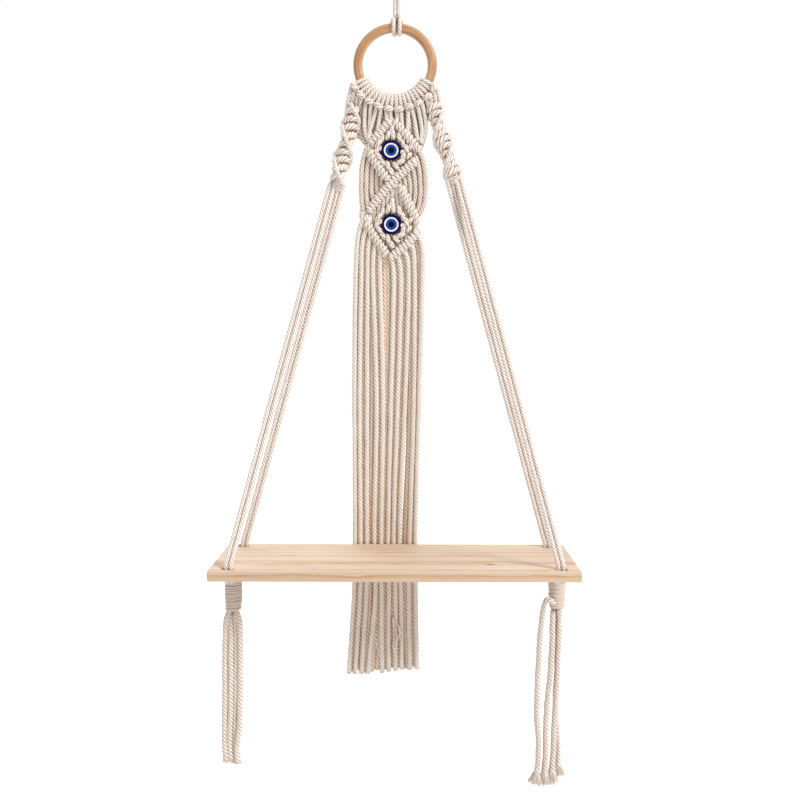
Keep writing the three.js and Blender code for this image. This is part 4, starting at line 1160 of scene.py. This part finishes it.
@dataclass
class LarksHeads:
    """The ten lark's heads on the ring's lower arc."""

    first: float = 204
    last: float = 333
    strand: float = 2.35
    rho: float = 7.75
    bar_out: float = 10.4
    bar_forward: float = 12.6
    bar_half: float = 2.6
    bar_swell: float = 1.46
    bar_reach: float = 4.6
    bending: range = range(2, 8)
    lay: Lay = Lay(diameter=4.9, pitch=16.0)

    def path(self, psi: float, legs: tuple[list[Point], list[Point]], out: float, forward: float,
             tilt: float) -> np.ndarray:
        """The centre line of one head from leg to leg.

        Args:
            psi: Its place on the ring.
            legs: Where its legs run to.
            out: How far its bar lies from the ring's centre line.
            forward: How far forward its bar lies.
            tilt: How much further out one end of the bar is.

        Returns:
            Its points, in millimetres.
        """
        p = PLACES

        def side(sign: int) -> list[Point]:
            """One half, from where the leg starts to the middle of the bar."""
            s, far = sign * self.strand, out + sign * tilt
            half = [p.ring_place(psi, s, far, -self.rho), p.ring_place(psi, s, 5.0, -self.rho)]
            for degrees in (-100, -135, -180, -225, -270, -315, -345):
                angle = math.radians(degrees)
                grow = 1 + 0.12 * max(0.0, -degrees - 180) / 165
                half.append(p.ring_place(psi, s * grow, self.rho * math.cos(angle), self.rho * math.sin(angle)))
            half.append(p.ring_place(psi, sign * (self.bar_half + 0.4), far - 1.2, 6.4 - forward))
            half.append(p.ring_place(psi, sign * (self.bar_half + 0.1), far, 2.2 - forward))
            half.append(p.ring_place(psi, sign * self.bar_half * 0.5, far, -forward))
            return half

        left, right = side(1), side(-1)
        first, second = legs
        if first[0][0] > second[0][0]:
            first, second = second, first
        turned = [p.ring_place(psi, s * self.strand, 0, 0)[0] for s in (1, -1)]
        if turned[0] < turned[1]:
            return spline([*reversed(first), *left, *reversed(right), *second])
        return spline([*reversed(second), *left, *reversed(right), *first])

    def build(self, cotton: bpy.types.Material) -> None:
        """Make the ten heads."""
        half = math.radians((self.last - self.first) / len(LEGS) / 2)
        for i, legs in enumerate(LEGS):
            name = f"larks_head_{i + 1:02d}"
            psi = math.radians(self.first) + (2 * i + 1) * half
            bundle = Bundle(Seed.LARKS_HEAD + i)
            out = self.bar_out + bundle.chance.uniform(-0.7, 0.7)
            forward = self.bar_forward + bundle.chance.uniform(-0.5, 0.6)
            path = even(self.path(psi, legs, out, forward, bundle.chance.uniform(-0.6, 0.6)), 1.0)
            away = np.linalg.norm(path - np.array(PLACES.ring_place(psi, 0, out, -forward)), axis=1)
            bundle.lay(path, self.lay, 1 + (self.bar_swell - 1) * np.exp(-(away / self.bar_reach) ** 2), wobble=0)
            if i not in self.bending:
                bundle.stand_in(name, cotton, "shelf")
                continue
            piece = bundle.piece(name + "_rope", cotton)
            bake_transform(piece)
            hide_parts(name)
            log.info("%s", piece.name)


@dataclass
class Sinnet:
    """A spiral sinnet: two cords knotted round a core, turning half round at every bulge."""

    side: Side
    line: list[Point]
    wide_at: float
    hand: int
    half_width: float = 9.1
    half_thickness: float = 3.3
    half_turn: float = 37
    knot_height: float = 8.3
    slant: float = 2.4
    arch: float = 2.2
    edge: Lay = Lay(diameter=5.1, pitch=16.0)
    lump: Lay = Lay(diameter=7.8, pitch=18.0)
    core: Lay = Lay(diameter=5.8, rings_per_turn=12)
    core_shifts: tuple[float, ...] = (-3.6, 0.0, 3.6)
    end_reach: float = 9
    end_share: float = 0.45
    across: tuple[float, ...] = (-1, -0.75, -0.4, 0, 0.4, 0.75, 1)
    swell: tuple[float, ...] = (0.7, 0.9, 1.04, 1.08, 1.04, 0.9, 0.7)

    def build(self, cotton: bpy.types.Material) -> None:
        """Make the sinnet."""
        path = even(spline(self.line), 0.5)
        along = lengths(path)
        tangents = unit(np.gradient(path, axis=0))
        across = unit(np.cross(np.array([0.0, -1.0, 0.0]), tangents))
        lift = unit(np.cross(across, tangents))
        twist = self.hand * (self.wide_at - path[:, 2]) / self.half_turn * math.pi
        wide = across * np.cos(twist)[:, None] + lift * np.sin(twist)[:, None]
        thin = -across * np.sin(twist)[:, None] + lift * np.cos(twist)[:, None]
        ease = np.clip(np.minimum(along + 3, along[-1] - along + 2) / self.end_reach, self.end_share, 1)
        bundle = Bundle(Seed.SINNET + self.side.value)

        def at(place: np.ndarray, broad: np.ndarray, deep: np.ndarray) -> np.ndarray:
            """Points beside the middle line, by place along it, across it and out of it."""
            middle, out, front = (np.stack([np.interp(place, along, values[:, axis]) for axis in range(3)], 1)
                                  for values in (path, wide, thin))
            return middle + out * broad[:, None] + front * deep[:, None]

        for sign in (-1, 1):
            ripple = 1 + 0.05 * np.sin(along / self.knot_height * TURN + sign)
            bundle.lay(at(along, sign * self.half_width * ease * ripple, 0 * along), self.edge, wobble=0.3)
        shares = np.array(self.across)
        for knot in range(int(along[-1] / self.knot_height)):
            for face in (-1, 1):
                middle = (knot + 0.5 + 0.25 * face) * self.knot_height + bundle.chance.uniform(-0.5, 0.5)
                size = float(np.interp(middle, along, ease)) * bundle.chance.uniform(0.95, 1.08)
                place = middle + face * self.slant * shares - self.arch * (1 - shares ** 2)
                broad = shares * (self.half_width - 1.4) * size
                deep = face * (self.half_thickness + 0.9) * size * (1 - np.abs(shares) ** 3)
                line = spline(at(np.clip(place, 0, along[-1]), broad, deep))
                bundle.lay(line, self.lump, np.array(self.swell), wobble=0)
        for shift in self.core_shifts:
            bundle.lay(path + wide * shift, self.core, wobble=0)
        bundle.stand_in(f"{self.side.word}_spiral_sinnet", cotton, "shelf")


BARS: dict[str, list[tuple[float, float]]] = {
    "crossing_bar": [(0.806, 0.64), (-0.12, 0.965), (-1, 1.37)],
    "upper_diamond_top_left_bar": [(-0.12, 0.085), (-0.894, 0.43)],
    "upper_diamond_top_right_bar": [(-0.08, 0.09), (0.877, 0.52)],
    "upper_diamond_bottom_left_bar": [(-0.96, 0.5), (-0.8, 0.63), (-0.5, 0.8), (-0.26, 0.93)],
    "lower_diamond_top_right_bar": [(0.165, 1.01), (0.845, 1.53)],
    "lower_diamond_bottom_left_bar": [(-1.13, 1.5), (-0.31, 1.99)],
    "lower_diamond_bottom_right_bar": [(0.89, 1.635), (0.4, 1.84), (-0.2, 2.03)],
}


@dataclass
class HitchBars:
    """The diagonal bars of double half hitches."""

    wrap_radius: float = 3.4
    pitch: float = 4.9
    inset: float = 1.2
    core: Lay = Lay(diameter=4.8, rings_per_turn=12)
    lay: Lay = Lay(diameter=5.0, pitch=16.0)

    def build(self, cotton: bpy.types.Material) -> None:
        """Make the seven bars."""
        for number, (name, shares) in enumerate(BARS.items()):
            path = even(spline([PLACES.shared(*share) for share in shares]), 0.4)
            along = lengths(path)
            tangents = unit(np.gradient(path, axis=0))
            side = unit(np.cross(tangents, np.array([0.0, -1.0, 0.0])))
            lift = np.cross(side, tangents)
            hand = 1 if path[-1, 0] < path[0, 0] else -1
            kept = (along > self.inset) & (along < along[-1] - self.inset)
            knots = along / self.pitch
            angle = hand * knots * TURN + math.pi / 2
            bundle = Bundle(Seed.BAR + number)
            uneven = np.interp(knots, np.arange(40), bundle.chance.uniform(0.9, 1.1, 40))
            reach = self.wrap_radius * uneven * np.clip(np.minimum(along, along[-1] - along) / 5 + 0.55, 0, 1)
            wrap = path + side * (reach * np.cos(angle))[:, None] + lift * (reach * np.sin(angle))[:, None]
            swell = 1 + 0.09 * np.abs(np.sin(angle[kept])) * uneven[kept]
            bundle.lay(wrap[kept], self.lay, swell, wobble=0)
            bundle.lay(path, self.core, wobble=0)
            bundle.stand_in(name, cotton, "panel")


STITCHES: list[tuple[float, float, float, float]] = [
    (-3.8, 17.6, 8, 10), (2.8, 18.2, -12, 9), (-9.8, 13.4, 42, 9), (8.8, 14.4, -42, 9), (-13.4, 7.8, 28, 9),
    (13.4, 8.2, -30, 9), (-17.2, 0.4, 0, 10.5), (17, 1.2, 4, 9), (-13.4, -6.6, -32, 9), (13.4, -7.2, 34, 9),
    (-9.2, -12.8, -44, 9), (-3.4, -17, 4, 10.5), (4.6, -17.4, -62, 10), (10.4, -13, 48, 9), (0.6, -23.4, 0, 8),
    (-12.6, 1.6, 84, 6.5), (12.8, -1.8, 80, 6.5), (21.5, 3.4, 12, 8), (20.5, -5.4, 30, 8), (0.2, 24.2, 0, 8),
]
OUTLINES: dict[str, tuple[list[tuple[float, float]], list[tuple[float, float]]]] = {
    "upper": ([(-0.95, 0.5), (-0.1, 0.09), (0.877, 0.55)], [(-0.95, 0.5), (-0.2, 0.94), (0.877, 0.6)]),
    "lower": ([(-1.05, 1.42), (0, 1.0), (0.87, 1.55)], [(-1.05, 1.46), (-0.28, 2.0), (0.88, 1.63)]),
}

CORNER_KNOTS: dict[str, list[list[Point]]] = {
    "upper": [[(-27, -206, 2), (-30.4, -210, -0.6), (-31.4, -214, 2)],
              [(-21.2, -206.6, 2.6), (-25.9, -210.7, 0.6), (-29.1, -215.5, 2.8)]],
    "lower": [[(-33, -283, 2.4), (-36.6, -284.6, -0.4), (-37.6, -290, 0.4), (-35, -294, 3)],
              [(-30, -286, 1.4), (-33, -289, -1.4), (-33.6, -293.6, -0.4), (-31, -298, 3)],
              [(-37.4, -277, 2.6), (-38.4, -285, 2.4), (-37.6, -292, 3), (-34, -298, 4)]],
}


@dataclass
class EyeBead:
    """A flat glass eye bead on a thread, with the small square knots round it."""

    word: str
    across: float
    down: float
    diameter: float = 22.5
    thickness: float = 8
    edge: float = 1.5
    forward: float = 1.6
    rings: tuple[float, ...] = (8.2, 6.4, 5.0, 3.8)
    stray: tuple[float, float] = (0.8, 0.7)
    lean_stray: float = 28
    long_share: tuple[float, float] = (0.68, 0.95)
    stitch_width: tuple[float, float] = (5.2, 6.3)
    hind_depth: float = 3.2
    lip: float = 0.12
    sink: float = 0.08
    corner_lay: Lay = Lay(diameter=5.6, pitch=17.0)
    hind_lay: Lay = Lay(diameter=6.0, rings_per_turn=14)
    thread: Lay = Lay(diameter=2.4, pitch=10)

    def centre(self) -> np.ndarray:
        """The bead's middle."""
        return np.array(PLACES.shared(self.across, self.down)) - np.array([0, self.forward, 0])

    def at(self, x: float, down: float, forward: float) -> np.ndarray:
        """A point beside the bead, in the panel's leaning plane.

        Args:
            x: How far across.
            down: How far down the panel.
            forward: How far out of it.

        Returns:
            The point.
        """
        slope = PLACES.panel_slope
        downwards = unit(np.array([0, slope, -1.0]))
        out = unit(np.array([0, -1.0, -slope]))
        return self.centre() + downwards * down + out * forward + np.array([x, 0, 0])

    def bead(self, glasses: list[bpy.types.Material]) -> None:
        """Make the bead: a rounded disc with its rings inset in the front.

        Args:
            glasses: Navy, white, royal, azure and black glass.
        """
        bpy.ops.object.select_all(action="DESELECT")
        tilt = math.atan(PLACES.panel_slope)
        bpy.ops.mesh.primitive_cylinder_add(vertices=72, radius=self.diameter / 2 * MM, depth=self.thickness * MM,
                                            location=self.centre() * MM, rotation=(math.pi / 2 + tilt, 0, 0))
        piece = bpy.context.object
        piece.name = f"{self.word}_eye_bead_glass"
        piece.data.name = piece.name
        for glass in glasses:
            piece.data.materials.append(glass)
        bpy.ops.object.mode_set(mode="EDIT")
        bpy.ops.mesh.select_mode(type="EDGE")
        bpy.ops.mesh.select_all(action="DESELECT")
        bpy.ops.object.mode_set(mode="OBJECT")
        for edge in piece.data.edges:
            a, b = (piece.data.vertices[i].co for i in edge.vertices)
            edge.select = abs(a.z - b.z) < 1e-7
        bpy.ops.object.mode_set(mode="EDIT")
        bpy.ops.mesh.bevel(offset=self.edge * MM, segments=5, affect="EDGES")
        bpy.ops.mesh.select_mode(type="FACE")
        bpy.ops.mesh.select_all(action="DESELECT")
        bpy.ops.object.mode_set(mode="OBJECT")
        front = max(piece.data.polygons, key=lambda polygon: polygon.center.z * 1e3 + polygon.area)
        front.select = True
        bpy.ops.object.mode_set(mode="EDIT")
        radius = self.diameter / 2 - self.edge
        for number, ring in enumerate(self.rings):
            bpy.ops.mesh.inset(thickness=(radius - ring) * MM, depth=0)
            piece.active_material_index = number + 1
            bpy.ops.object.material_slot_assign()
            bpy.ops.mesh.inset(thickness=self.lip * MM, depth=(-self.sink if number % 2 else self.lip) * MM)
            radius = ring - self.lip
        bpy.ops.object.mode_set(mode="OBJECT")
        place_mesh(piece, 0)
        piece.data.shade_smooth()
        bpy.ops.object.shade_smooth_by_angle(angle=math.radians(40))
        settle(piece, f"{self.word}_eye_bead", f"{self.word}_bead")

    def pad(self, cotton: bpy.types.Material) -> None:
        """Make the small square knots round the bead and the strands behind them."""
        bundle = Bundle(Seed.BEAD_PAD)
        shift = 0.6 if self.word == "lower" else 0.0
        for x, up, lean, long in STITCHES:
            x += bundle.chance.uniform(-self.stray[0], self.stray[0])
            up += bundle.chance.uniform(-self.stray[1], self.stray[1]) + shift
            angle = math.radians(lean + bundle.chance.uniform(-self.lean_stray, self.lean_stray))
            long *= bundle.chance.uniform(*self.long_share)
            forward = 1.5 + bundle.chance.uniform(-0.8, 1.0)
            points = [self.at(x + math.sin(angle) * long / 2 * share, -up - math.cos(angle) * long / 2 * share,
                              forward - 2.7 * abs(share) ** 2.2) for share in (-1, -0.72, -0.35, 0, 0.35, 0.72, 1)]
            width = bundle.chance.uniform(*self.stitch_width)
            bundle.lay(spline(points), Lay(diameter=width, pitch=17), wobble=0)
        for path in CORNER_KNOTS[self.word]:
            bundle.lay(spline([PLACES.on_panel(x, z, behind) for x, z, behind in path]), self.corner_lay, wobble=0)
        tops, bottoms = ([PLACES.shared(*share) for share in line] for line in OUTLINES[self.word])
        for x in np.arange(-24, 25.1, 5.2):
            high, low = (float(np.interp(x, [q[0] for q in line], [q[2] for q in line])) for line in (tops, bottoms))
            if high - low > 6:
                places = [PLACES.on_panel(x, z, self.hind_depth) for z in np.linspace(high - 1, low + 1, 4)]
                bundle.lay(spline(places), self.hind_lay, wobble=0.3)
        bundle.lay(spline([self.at(0, -13, -0.8), self.at(0, 0, 0), self.at(0, 13, -0.8)]), self.thread, wobble=0)
        bundle.stand_in(f"{self.word}_bead_pad", cotton, "panel")


FANS: dict[str, list[tuple[float, list[tuple[float, float]]]]] = {
    "middle_left_fan": [
        (0.8, [(-30.6, -210.7), (-34.7, -219.6), (-37.3, -230.6), (-38.3, -247.3), (-38.4, -264.1), (-37.4, -276.4),
               (-33.3, -285.4)]),
        (1.2, [(-26.6, -215.2), (-29.7, -225.1), (-32.1, -236.2), (-32.9, -250.7), (-32.7, -266.3), (-30.5, -277.6),
               (-26.4, -283.2)]),
        (2.4, [(-22.7, -220.7), (-25.2, -230.7), (-26.8, -245.1), (-26.8, -260.7), (-23.5, -274.2)]),
        (3.4, [(-17.6, -228.5), (-20.4, -238.4), (-21.2, -251.8), (-18.9, -268.4)]),
        (4.0, [(-11.4, -237.3), (-15, -245.1), (-15.4, -251.8), (-13.2, -262.8)]),
        (4.4, [(-5, -241), (-9.4, -248), (-9.4, -253), (-6, -260)]),
        (7.2, [(-32.6, -212.9), (-35.5, -227.4), (-36.1, -246.4), (-36.2, -263.3), (-33.6, -282.4)]),
        (7.2, [(-27.5, -219.6), (-29.4, -233), (-29.9, -248.6), (-29.6, -265.5), (-27.8, -279.1)]),
        (7.2, [(-21.8, -225.2), (-23.5, -237.5), (-23.8, -253.1), (-22.7, -267.8)]),
        (7.2, [(-16.1, -233), (-17.3, -244.2), (-17.4, -255.4), (-16.2, -262.2)]),
        (7.2, [(-10.4, -242), (-10.9, -250.9), (-10.5, -257.7)]),
        (5.6, [(-37.3, -155.7), (-38.5, -171.1), (-39.3, -182.1), (-38.7, -193.1), (-34.7, -203.1),
               (-28.5, -209.7)]),
        (5.6, [(-30.5, -160.1), (-31.5, -171.1), (-31.8, -185.4), (-29.6, -198.6), (-25.1, -208.6)]),
        (5.6, [(-23.7, -164.5), (-23.8, -175.5), (-23.8, -186.5), (-21.6, -198.7)]),
        (5.6, [(-17, -167.8), (-17, -177.7), (-16.6, -186.5), (-15.9, -194.2)]),
        (5.6, [(-10.2, -168.9), (-10.2, -177.7), (-9.8, -186.5)]),
        (5.6, [(-4, -169.6), (-4, -176), (-4, -183)]),
        (7.4, [(-50.6, -190.4), (-43.4, -195.4), (-36.2, -200.6), (-28.3, -209.4)]),
    ],
    "middle_right_fan": [
        (0.8, [(28.4, -216.3), (32.5, -227.4), (34.3, -241.9), (34.6, -258.6), (33.7, -272), (28.5, -285.5)]),
        (1.2, [(23.8, -221.9), (27.2, -233), (28.9, -247.4), (29, -263.1), (26.6, -277.6), (22.8, -286.6)]),
        (2.4, [(18.2, -226.3), (21.6, -238.5), (23.2, -251.9), (23, -265.3), (19.3, -280.7)]),
        (3.4, [(12.5, -231.8), (16.3, -244.1), (17.6, -255.2), (15.9, -272.6)]),
        (4.0, [(6.8, -237.4), (11.2, -247.4), (12, -256.3), (10.2, -267.3)]),
        (4.4, [(2, -243), (5.6, -249), (6.2, -254), (5, -261)]),
        (7.2, [(26.1, -215.2), (30, -228.6), (31.7, -244.3), (31.7, -262.2), (28.5, -280.3)]),
        (7.2, [(21.1, -224.1), (24.6, -235.3), (25.7, -251), (25.5, -266.7), (22.8, -282.5)]),
        (7.2, [(15.4, -228.6), (18.9, -240.9), (19.9, -253.2), (19.3, -270.1)]),
        (7.2, [(9.6, -235.3), (13.1, -246.5), (14.1, -257.7), (13.6, -266.7)]),
        (7.2, [(4.4, -242), (7.4, -250.9), (7.9, -259.9)]),
        (5.6, [(32.8, -158.1), (32.9, -170.1), (34, -184.4), (32.5, -197.7), (27.8, -210.9)]),
        (5.6, [(26.1, -162.4), (26.5, -170.1), (28.4, -184.4), (27.9, -197.6), (22.7, -209.8)]),
        (5.6, [(19.3, -165.7), (19.7, -172.3), (21.6, -184.4), (21.6, -202.1)]),
        (5.6, [(12.5, -169), (13.6, -184.4), (14.8, -194.3)]),
        (5.6, [(5.7, -170.1), (6.8, -180), (7.9, -186.6)]),
        (5.6, [(1, -169.6), (1, -176), (1, -183)]),
    ],
}


@dataclass
class Fans:
    """The strands that loop out beside the crossing of the bars."""

    lay: Lay = Lay(diameter=5.6, pitch=18.0)
    hind_lay: Lay = Lay(diameter=7.1, pitch=19.0)
    hind: float = 5.0

    def build(self, cotton: bpy.types.Material) -> None:
        """Make the two fans."""
        for number, (name, routes) in enumerate(FANS.items()):
            bundle = Bundle(Seed.FAN + number)
            for behind, route in routes:
                lay = self.hind_lay if behind > self.hind else self.lay
                bundle.lay(spline([PLACES.on_panel(x, z, behind) for x, z in route]), lay, wobble=0.2)
            bundle.stand_in(name, cotton, "panel")


@dataclass
class Wraps:
    """The gathering wraps under the board, each narrower towards its foot."""

    radius: float = 8.5
    foot_radius: float = 7.5
    turns: float = 11.6
    samples: int = 500
    lifts: dict[Side, tuple[float, float]] = by_side((-3, 0), (-1.4, 4))
    lay: Lay = Lay(diameter=3.1, pitch=13.0)
    crook: tuple[Point, ...] = (
        (179, -8.6, -726), (176.6, -12.4, -722.6), (172.6, -14, -719.8), (169, -13.4, -721.4), (167.5, -12.4, -727),
    )

    def build(self, cotton: bpy.types.Material) -> None:
        """Make the two wraps."""
        p = PLACES
        for side in Side:
            bundle = Bundle(Seed.WRAP + side.value)
            down, up = self.lifts[side]
            top = p.board_under - p.wrap_top_drop - self.lay.radius - down
            shares = np.linspace(0, 1, self.samples)
            coils = shares * self.turns
            uneven = np.interp(coils, np.arange(0, 14, 0.5), bundle.chance.uniform(-0.55, 0.55, 28))
            loose = np.interp(coils, np.arange(0, 14, 0.4), bundle.chance.uniform(-0.25, 0.3, 35))
            reach = np.interp(shares, [0, 0.5, 1], [self.radius, self.radius, self.foot_radius]) + loose
            angle = coils * TURN + math.pi / 4
            x = side.value * p.wrap_sideways + reach * np.sin(angle)
            y = p.board_y + reach * np.cos(angle)
            z = top - shares * (p.wrap_height - down - up) + uneven * np.clip(8 * shares * (1 - shares), 0, 1)
            bundle.lay(np.stack([x, y, z], 1), self.lay, wobble=0)
            if side is Side.RIGHT:
                bundle.lay(spline(self.crook), Lay(6.6), wobble=0)
            bundle.stand_in(f"{side.word}_wrap_knot", cotton, "shelf")


# ---------------------------------------------------------------- wood


@dataclass
class WoodRing:
    """The turned ring, its section a rounded square."""

    corner: float = 4.5
    steps: int = 144

    def build(self, wood: bpy.types.Material) -> None:
        """Make the ring by spinning its section."""
        p = PLACES
        bpy.ops.object.select_all(action="DESELECT")
        bpy.ops.mesh.primitive_plane_add(size=p.ring_section * MM, location=(0, 0, 0))
        piece = bpy.context.object
        piece.name = "wood_ring_turned"
        piece.data.name = piece.name
        bpy.ops.object.mode_set(mode="EDIT")
        bpy.ops.mesh.select_all(action="SELECT")
        bpy.ops.mesh.bevel(offset=self.corner * MM, segments=7, affect="VERTICES")
        bpy.ops.mesh.select_all(action="SELECT")
        bpy.ops.transform.translate(value=(p.ring_radius * MM, 0, 0))
        bpy.ops.mesh.delete(type="ONLY_FACE")
        bpy.ops.mesh.select_all(action="SELECT")
        bpy.ops.mesh.spin(steps=self.steps, angle=TURN, center=(0, 0, 0), axis=(0, 1, 0))
        bpy.ops.mesh.select_all(action="SELECT")
        bpy.ops.mesh.remove_doubles(threshold=1e-6)
        bpy.ops.mesh.normals_make_consistent(inside=False)
        bpy.ops.object.mode_set(mode="OBJECT")
        place_mesh(piece, p.ring_z)
        piece.data.materials.append(wood)
        piece.data.shade_smooth()
        settle(piece, "wood_ring", "shelf")


def place_mesh(piece: bpy.types.Object, z: float) -> None:
    """Put a piece's place into its mesh.

    Args:
        piece: The piece, made round the origin.
        z: The height that it is lifted to, in millimetres.
    """
    bpy.context.view_layer.update()
    piece.data.transform(piece.matrix_world)
    piece.location, piece.rotation_euler, piece.scale = (0, 0, 0), (0, 0, 0), (1, 1, 1)
    for vertex in piece.data.vertices:
        vertex.co.z += z * MM
    bpy.context.view_layer.update()


@dataclass
class Board:
    """The pine board with its four holes."""

    edge: float = 0.9
    hole_turns: int = 48

    def build(self, pine: bpy.types.Material) -> None:
        """Make the board."""
        p = PLACES
        bpy.ops.object.select_all(action="DESELECT")
        centre = (0, p.board_y * MM, (p.board_top - p.board_thickness / 2) * MM)
        bpy.ops.mesh.primitive_cube_add(size=1, location=centre)
        piece = bpy.context.object
        piece.name = "shelf_board_pine"
        piece.data.name = piece.name
        piece.scale = (p.board_length * MM, p.board_depth * MM, p.board_thickness * MM)
        bpy.ops.object.transform_apply(location=True, rotation=False, scale=True)
        for across in (-1, 1):
            for back in (-1, 1):
                x = across * (p.board_length / 2 - p.hole_end_inset) * MM
                y = (p.board_y + back * (p.board_depth / 2 - p.hole_edge_inset)) * MM
                bpy.ops.object.select_all(action="DESELECT")
                bpy.ops.mesh.primitive_cylinder_add(vertices=self.hole_turns, radius=p.hole_diameter / 2 * MM,
                                                    depth=0.03, location=(x, y, centre[2]))
                drill = bpy.context.object
                cut = piece.modifiers.new("hole", "BOOLEAN")
                cut.operation, cut.object, cut.solver = "DIFFERENCE", drill, "EXACT"
                bpy.context.view_layer.objects.active = piece
                bpy.ops.object.modifier_apply(modifier="hole")
                bpy.data.objects.remove(drill, do_unlink=True)
        bpy.ops.object.select_all(action="DESELECT")
        piece.select_set(True)
        round_off = piece.modifiers.new("edges", "BEVEL")
        round_off.width, round_off.segments, round_off.limit_method = self.edge * MM, 3, "ANGLE"
        round_off.angle_limit = math.radians(50)
        bpy.ops.object.modifier_apply(modifier="edges")
        piece.data.materials.clear()
        piece.data.materials.append(pine)
        bpy.ops.object.shade_smooth_by_angle(angle=math.radians(35))
        settle(piece, "shelf_board", "shelf")


# ---------------------------------------------------------------- studio


@dataclass
class Studio:
    """A pale floor well below the part, a white surround and plain soft lamps."""

    floor_z: float = -1.75
    floor_half: float = 12
    fill_tint: Colour = (1.0, 0.965, 0.935)
    fill_level: float = 0.65
    floor_glow: float = 0.42

    def floor_material(self) -> bpy.types.Material:
        """Make the floor's plain pale material.

        Returns:
            The material.
        """
        graph = MaterialGraph("floor_pale")
        light = graph.node("Emission", {"Strength": graph.math("MULTIPLY", graph.seen(), self.floor_glow)})
        both = graph.node("AddShader", {0: graph.shader.outputs[0], 1: light.outputs[0]})
        graph.put(graph.output.inputs[0], both.outputs[0])
        return graph.finished({"Base Color": (0.86, 0.86, 0.86), "Roughness": 0.9})

    def sun(self, name: str, towards: Point, strength: float, softness: float) -> None:
        """Add a soft far lamp.

        Args:
            name: Its name.
            towards: The direction in which it stands.
            strength: Its strength.
            softness: How wide it looks, in degrees.
        """
        data = bpy.data.lights.new(name, "SUN")
        data.energy, data.angle = strength, math.radians(softness)
        lamp = bpy.data.objects.new(name, data)
        bpy.context.scene.collection.objects.link(lamp)
        flat = math.hypot(towards[0], towards[1])
        lamp.rotation_euler = (math.atan2(flat, towards[2]), 0, math.atan2(towards[0], -towards[1]))

    def build(self) -> None:
        """Make the floor, the surround and the lamps."""
        bpy.ops.object.select_all(action="DESELECT")
        bpy.ops.mesh.primitive_grid_add(x_subdivisions=2, y_subdivisions=2, size=2 * self.floor_half,
                                        location=(0, 0, self.floor_z))
        floor = bpy.context.object
        floor.name = "floor"
        floor.data.materials.append(self.floor_material())
        world = bpy.data.worlds.new("surround")
        bpy.context.scene.world = world
        world.use_nodes = True
        graph = Graph(world.node_tree)
        seen = graph.seen()
        level = graph.node("MapRange", {"Value": seen, "To Min": self.fill_level, "To Max": 1.0}).outputs[0]
        background = next(node for node in graph.tree.nodes if node.type == "BACKGROUND")
        graph.feed(background, {"Strength": level, "Color": graph.mix("MIX", seen, self.fill_tint, WHITE)})
        self.sun("key", (0.7, -0.6, 0.7), 2.4, 20)
        self.sun("rear", (-0.5, 0.75, 0.45), 0.7, 40)
        bpy.context.scene.view_settings.view_transform = "Standard"


def main() -> None:
    """Build the shelf, piece by piece."""
    Camera().build()
    cotton = CottonFinish().build()
    # A lighter copy of the cotton with no painted crevice shade: painted light on the loose fibres.
    loose_cotton = CottonFinish("loose_cotton", "F6ECE2", "EADBCB", "C9AD91", shade=0.0).build()
    # A darker copy of the cotton: painted shade on the tails and wraps under the board.
    tail_cotton = CottonFinish("tail_cotton", "E6E0DB", "D0BDAE", "8F6748").build()
    # A copy with less painted shade in its grooves and crevices, for the fringe.
    fringe_cotton = CottonFinish("fringe_cotton", "F1EDE9", "DFCFC1", "A98465", shade=0.45).build()
    # A darker, warmer copy with less painted crevice shade: painted shade in the gaps between the fringe strands.
    hind_cotton = CottonFinish("hind_cotton", "EADBCC", "D8C1AB", "A07A58", shade=0.45).build()
    # A darker copy with less painted crevice shade: painted shade on the fans.
    fan_cotton = CottonFinish("fan_cotton", "EAE2DB", "D3C0B0", "9C7454", shade=0.6).build()
    HangingCord().build(cotton)
    SideCords().build(cotton)
    Tails().build(tail_cotton, loose_cotton)
    Fringe().build(fringe_cotton, hind_cotton, loose_cotton)
    Hitch().build(cotton)
    LarksHeads().build(cotton)
    Sinnet(Side.LEFT, [(-48, -5.5, -164), (-50, -5, -186.5), (-59.1, -4, -224), (-65.6, -3.4, -250), (-66, -3, -259)],
           -186.5, 1).build(cotton)
    Sinnet(Side.RIGHT, [(43.6, -6, -163), (46.6, -5.5, -176), (53.9, -4.6, -204.4), (64.4, -3.4, -236),
                        (66, -3, -251)], -204.4, -1).build(cotton)
    HitchBars().build(cotton)
    Fans().build(fan_cotton)
    glasses = [finish.build() for finish in (
        GlassFinish("navy_glass", "000034", "040458"), GlassFinish("white_glass", "E2E1DC", "F2F2F2"),
        GlassFinish("royal_glass", "041A90", "0A2AAC"), GlassFinish("azure_glass", "1250B4", "1C68CC"),
        GlassFinish("black_glass", "020204", "050508"))]
    for bead in (EyeBead("upper", -0.139, 0.5225), EyeBead("lower", -0.139, 1.5525)):
        bead.pad(cotton)
        bead.bead(glasses)
    Wraps().build(tail_cotton)
    WoodRing().build(RingFinish().build())
    Board().build(PineFinish().build())
    Studio().build()


if __name__ == "__main__":
    main()
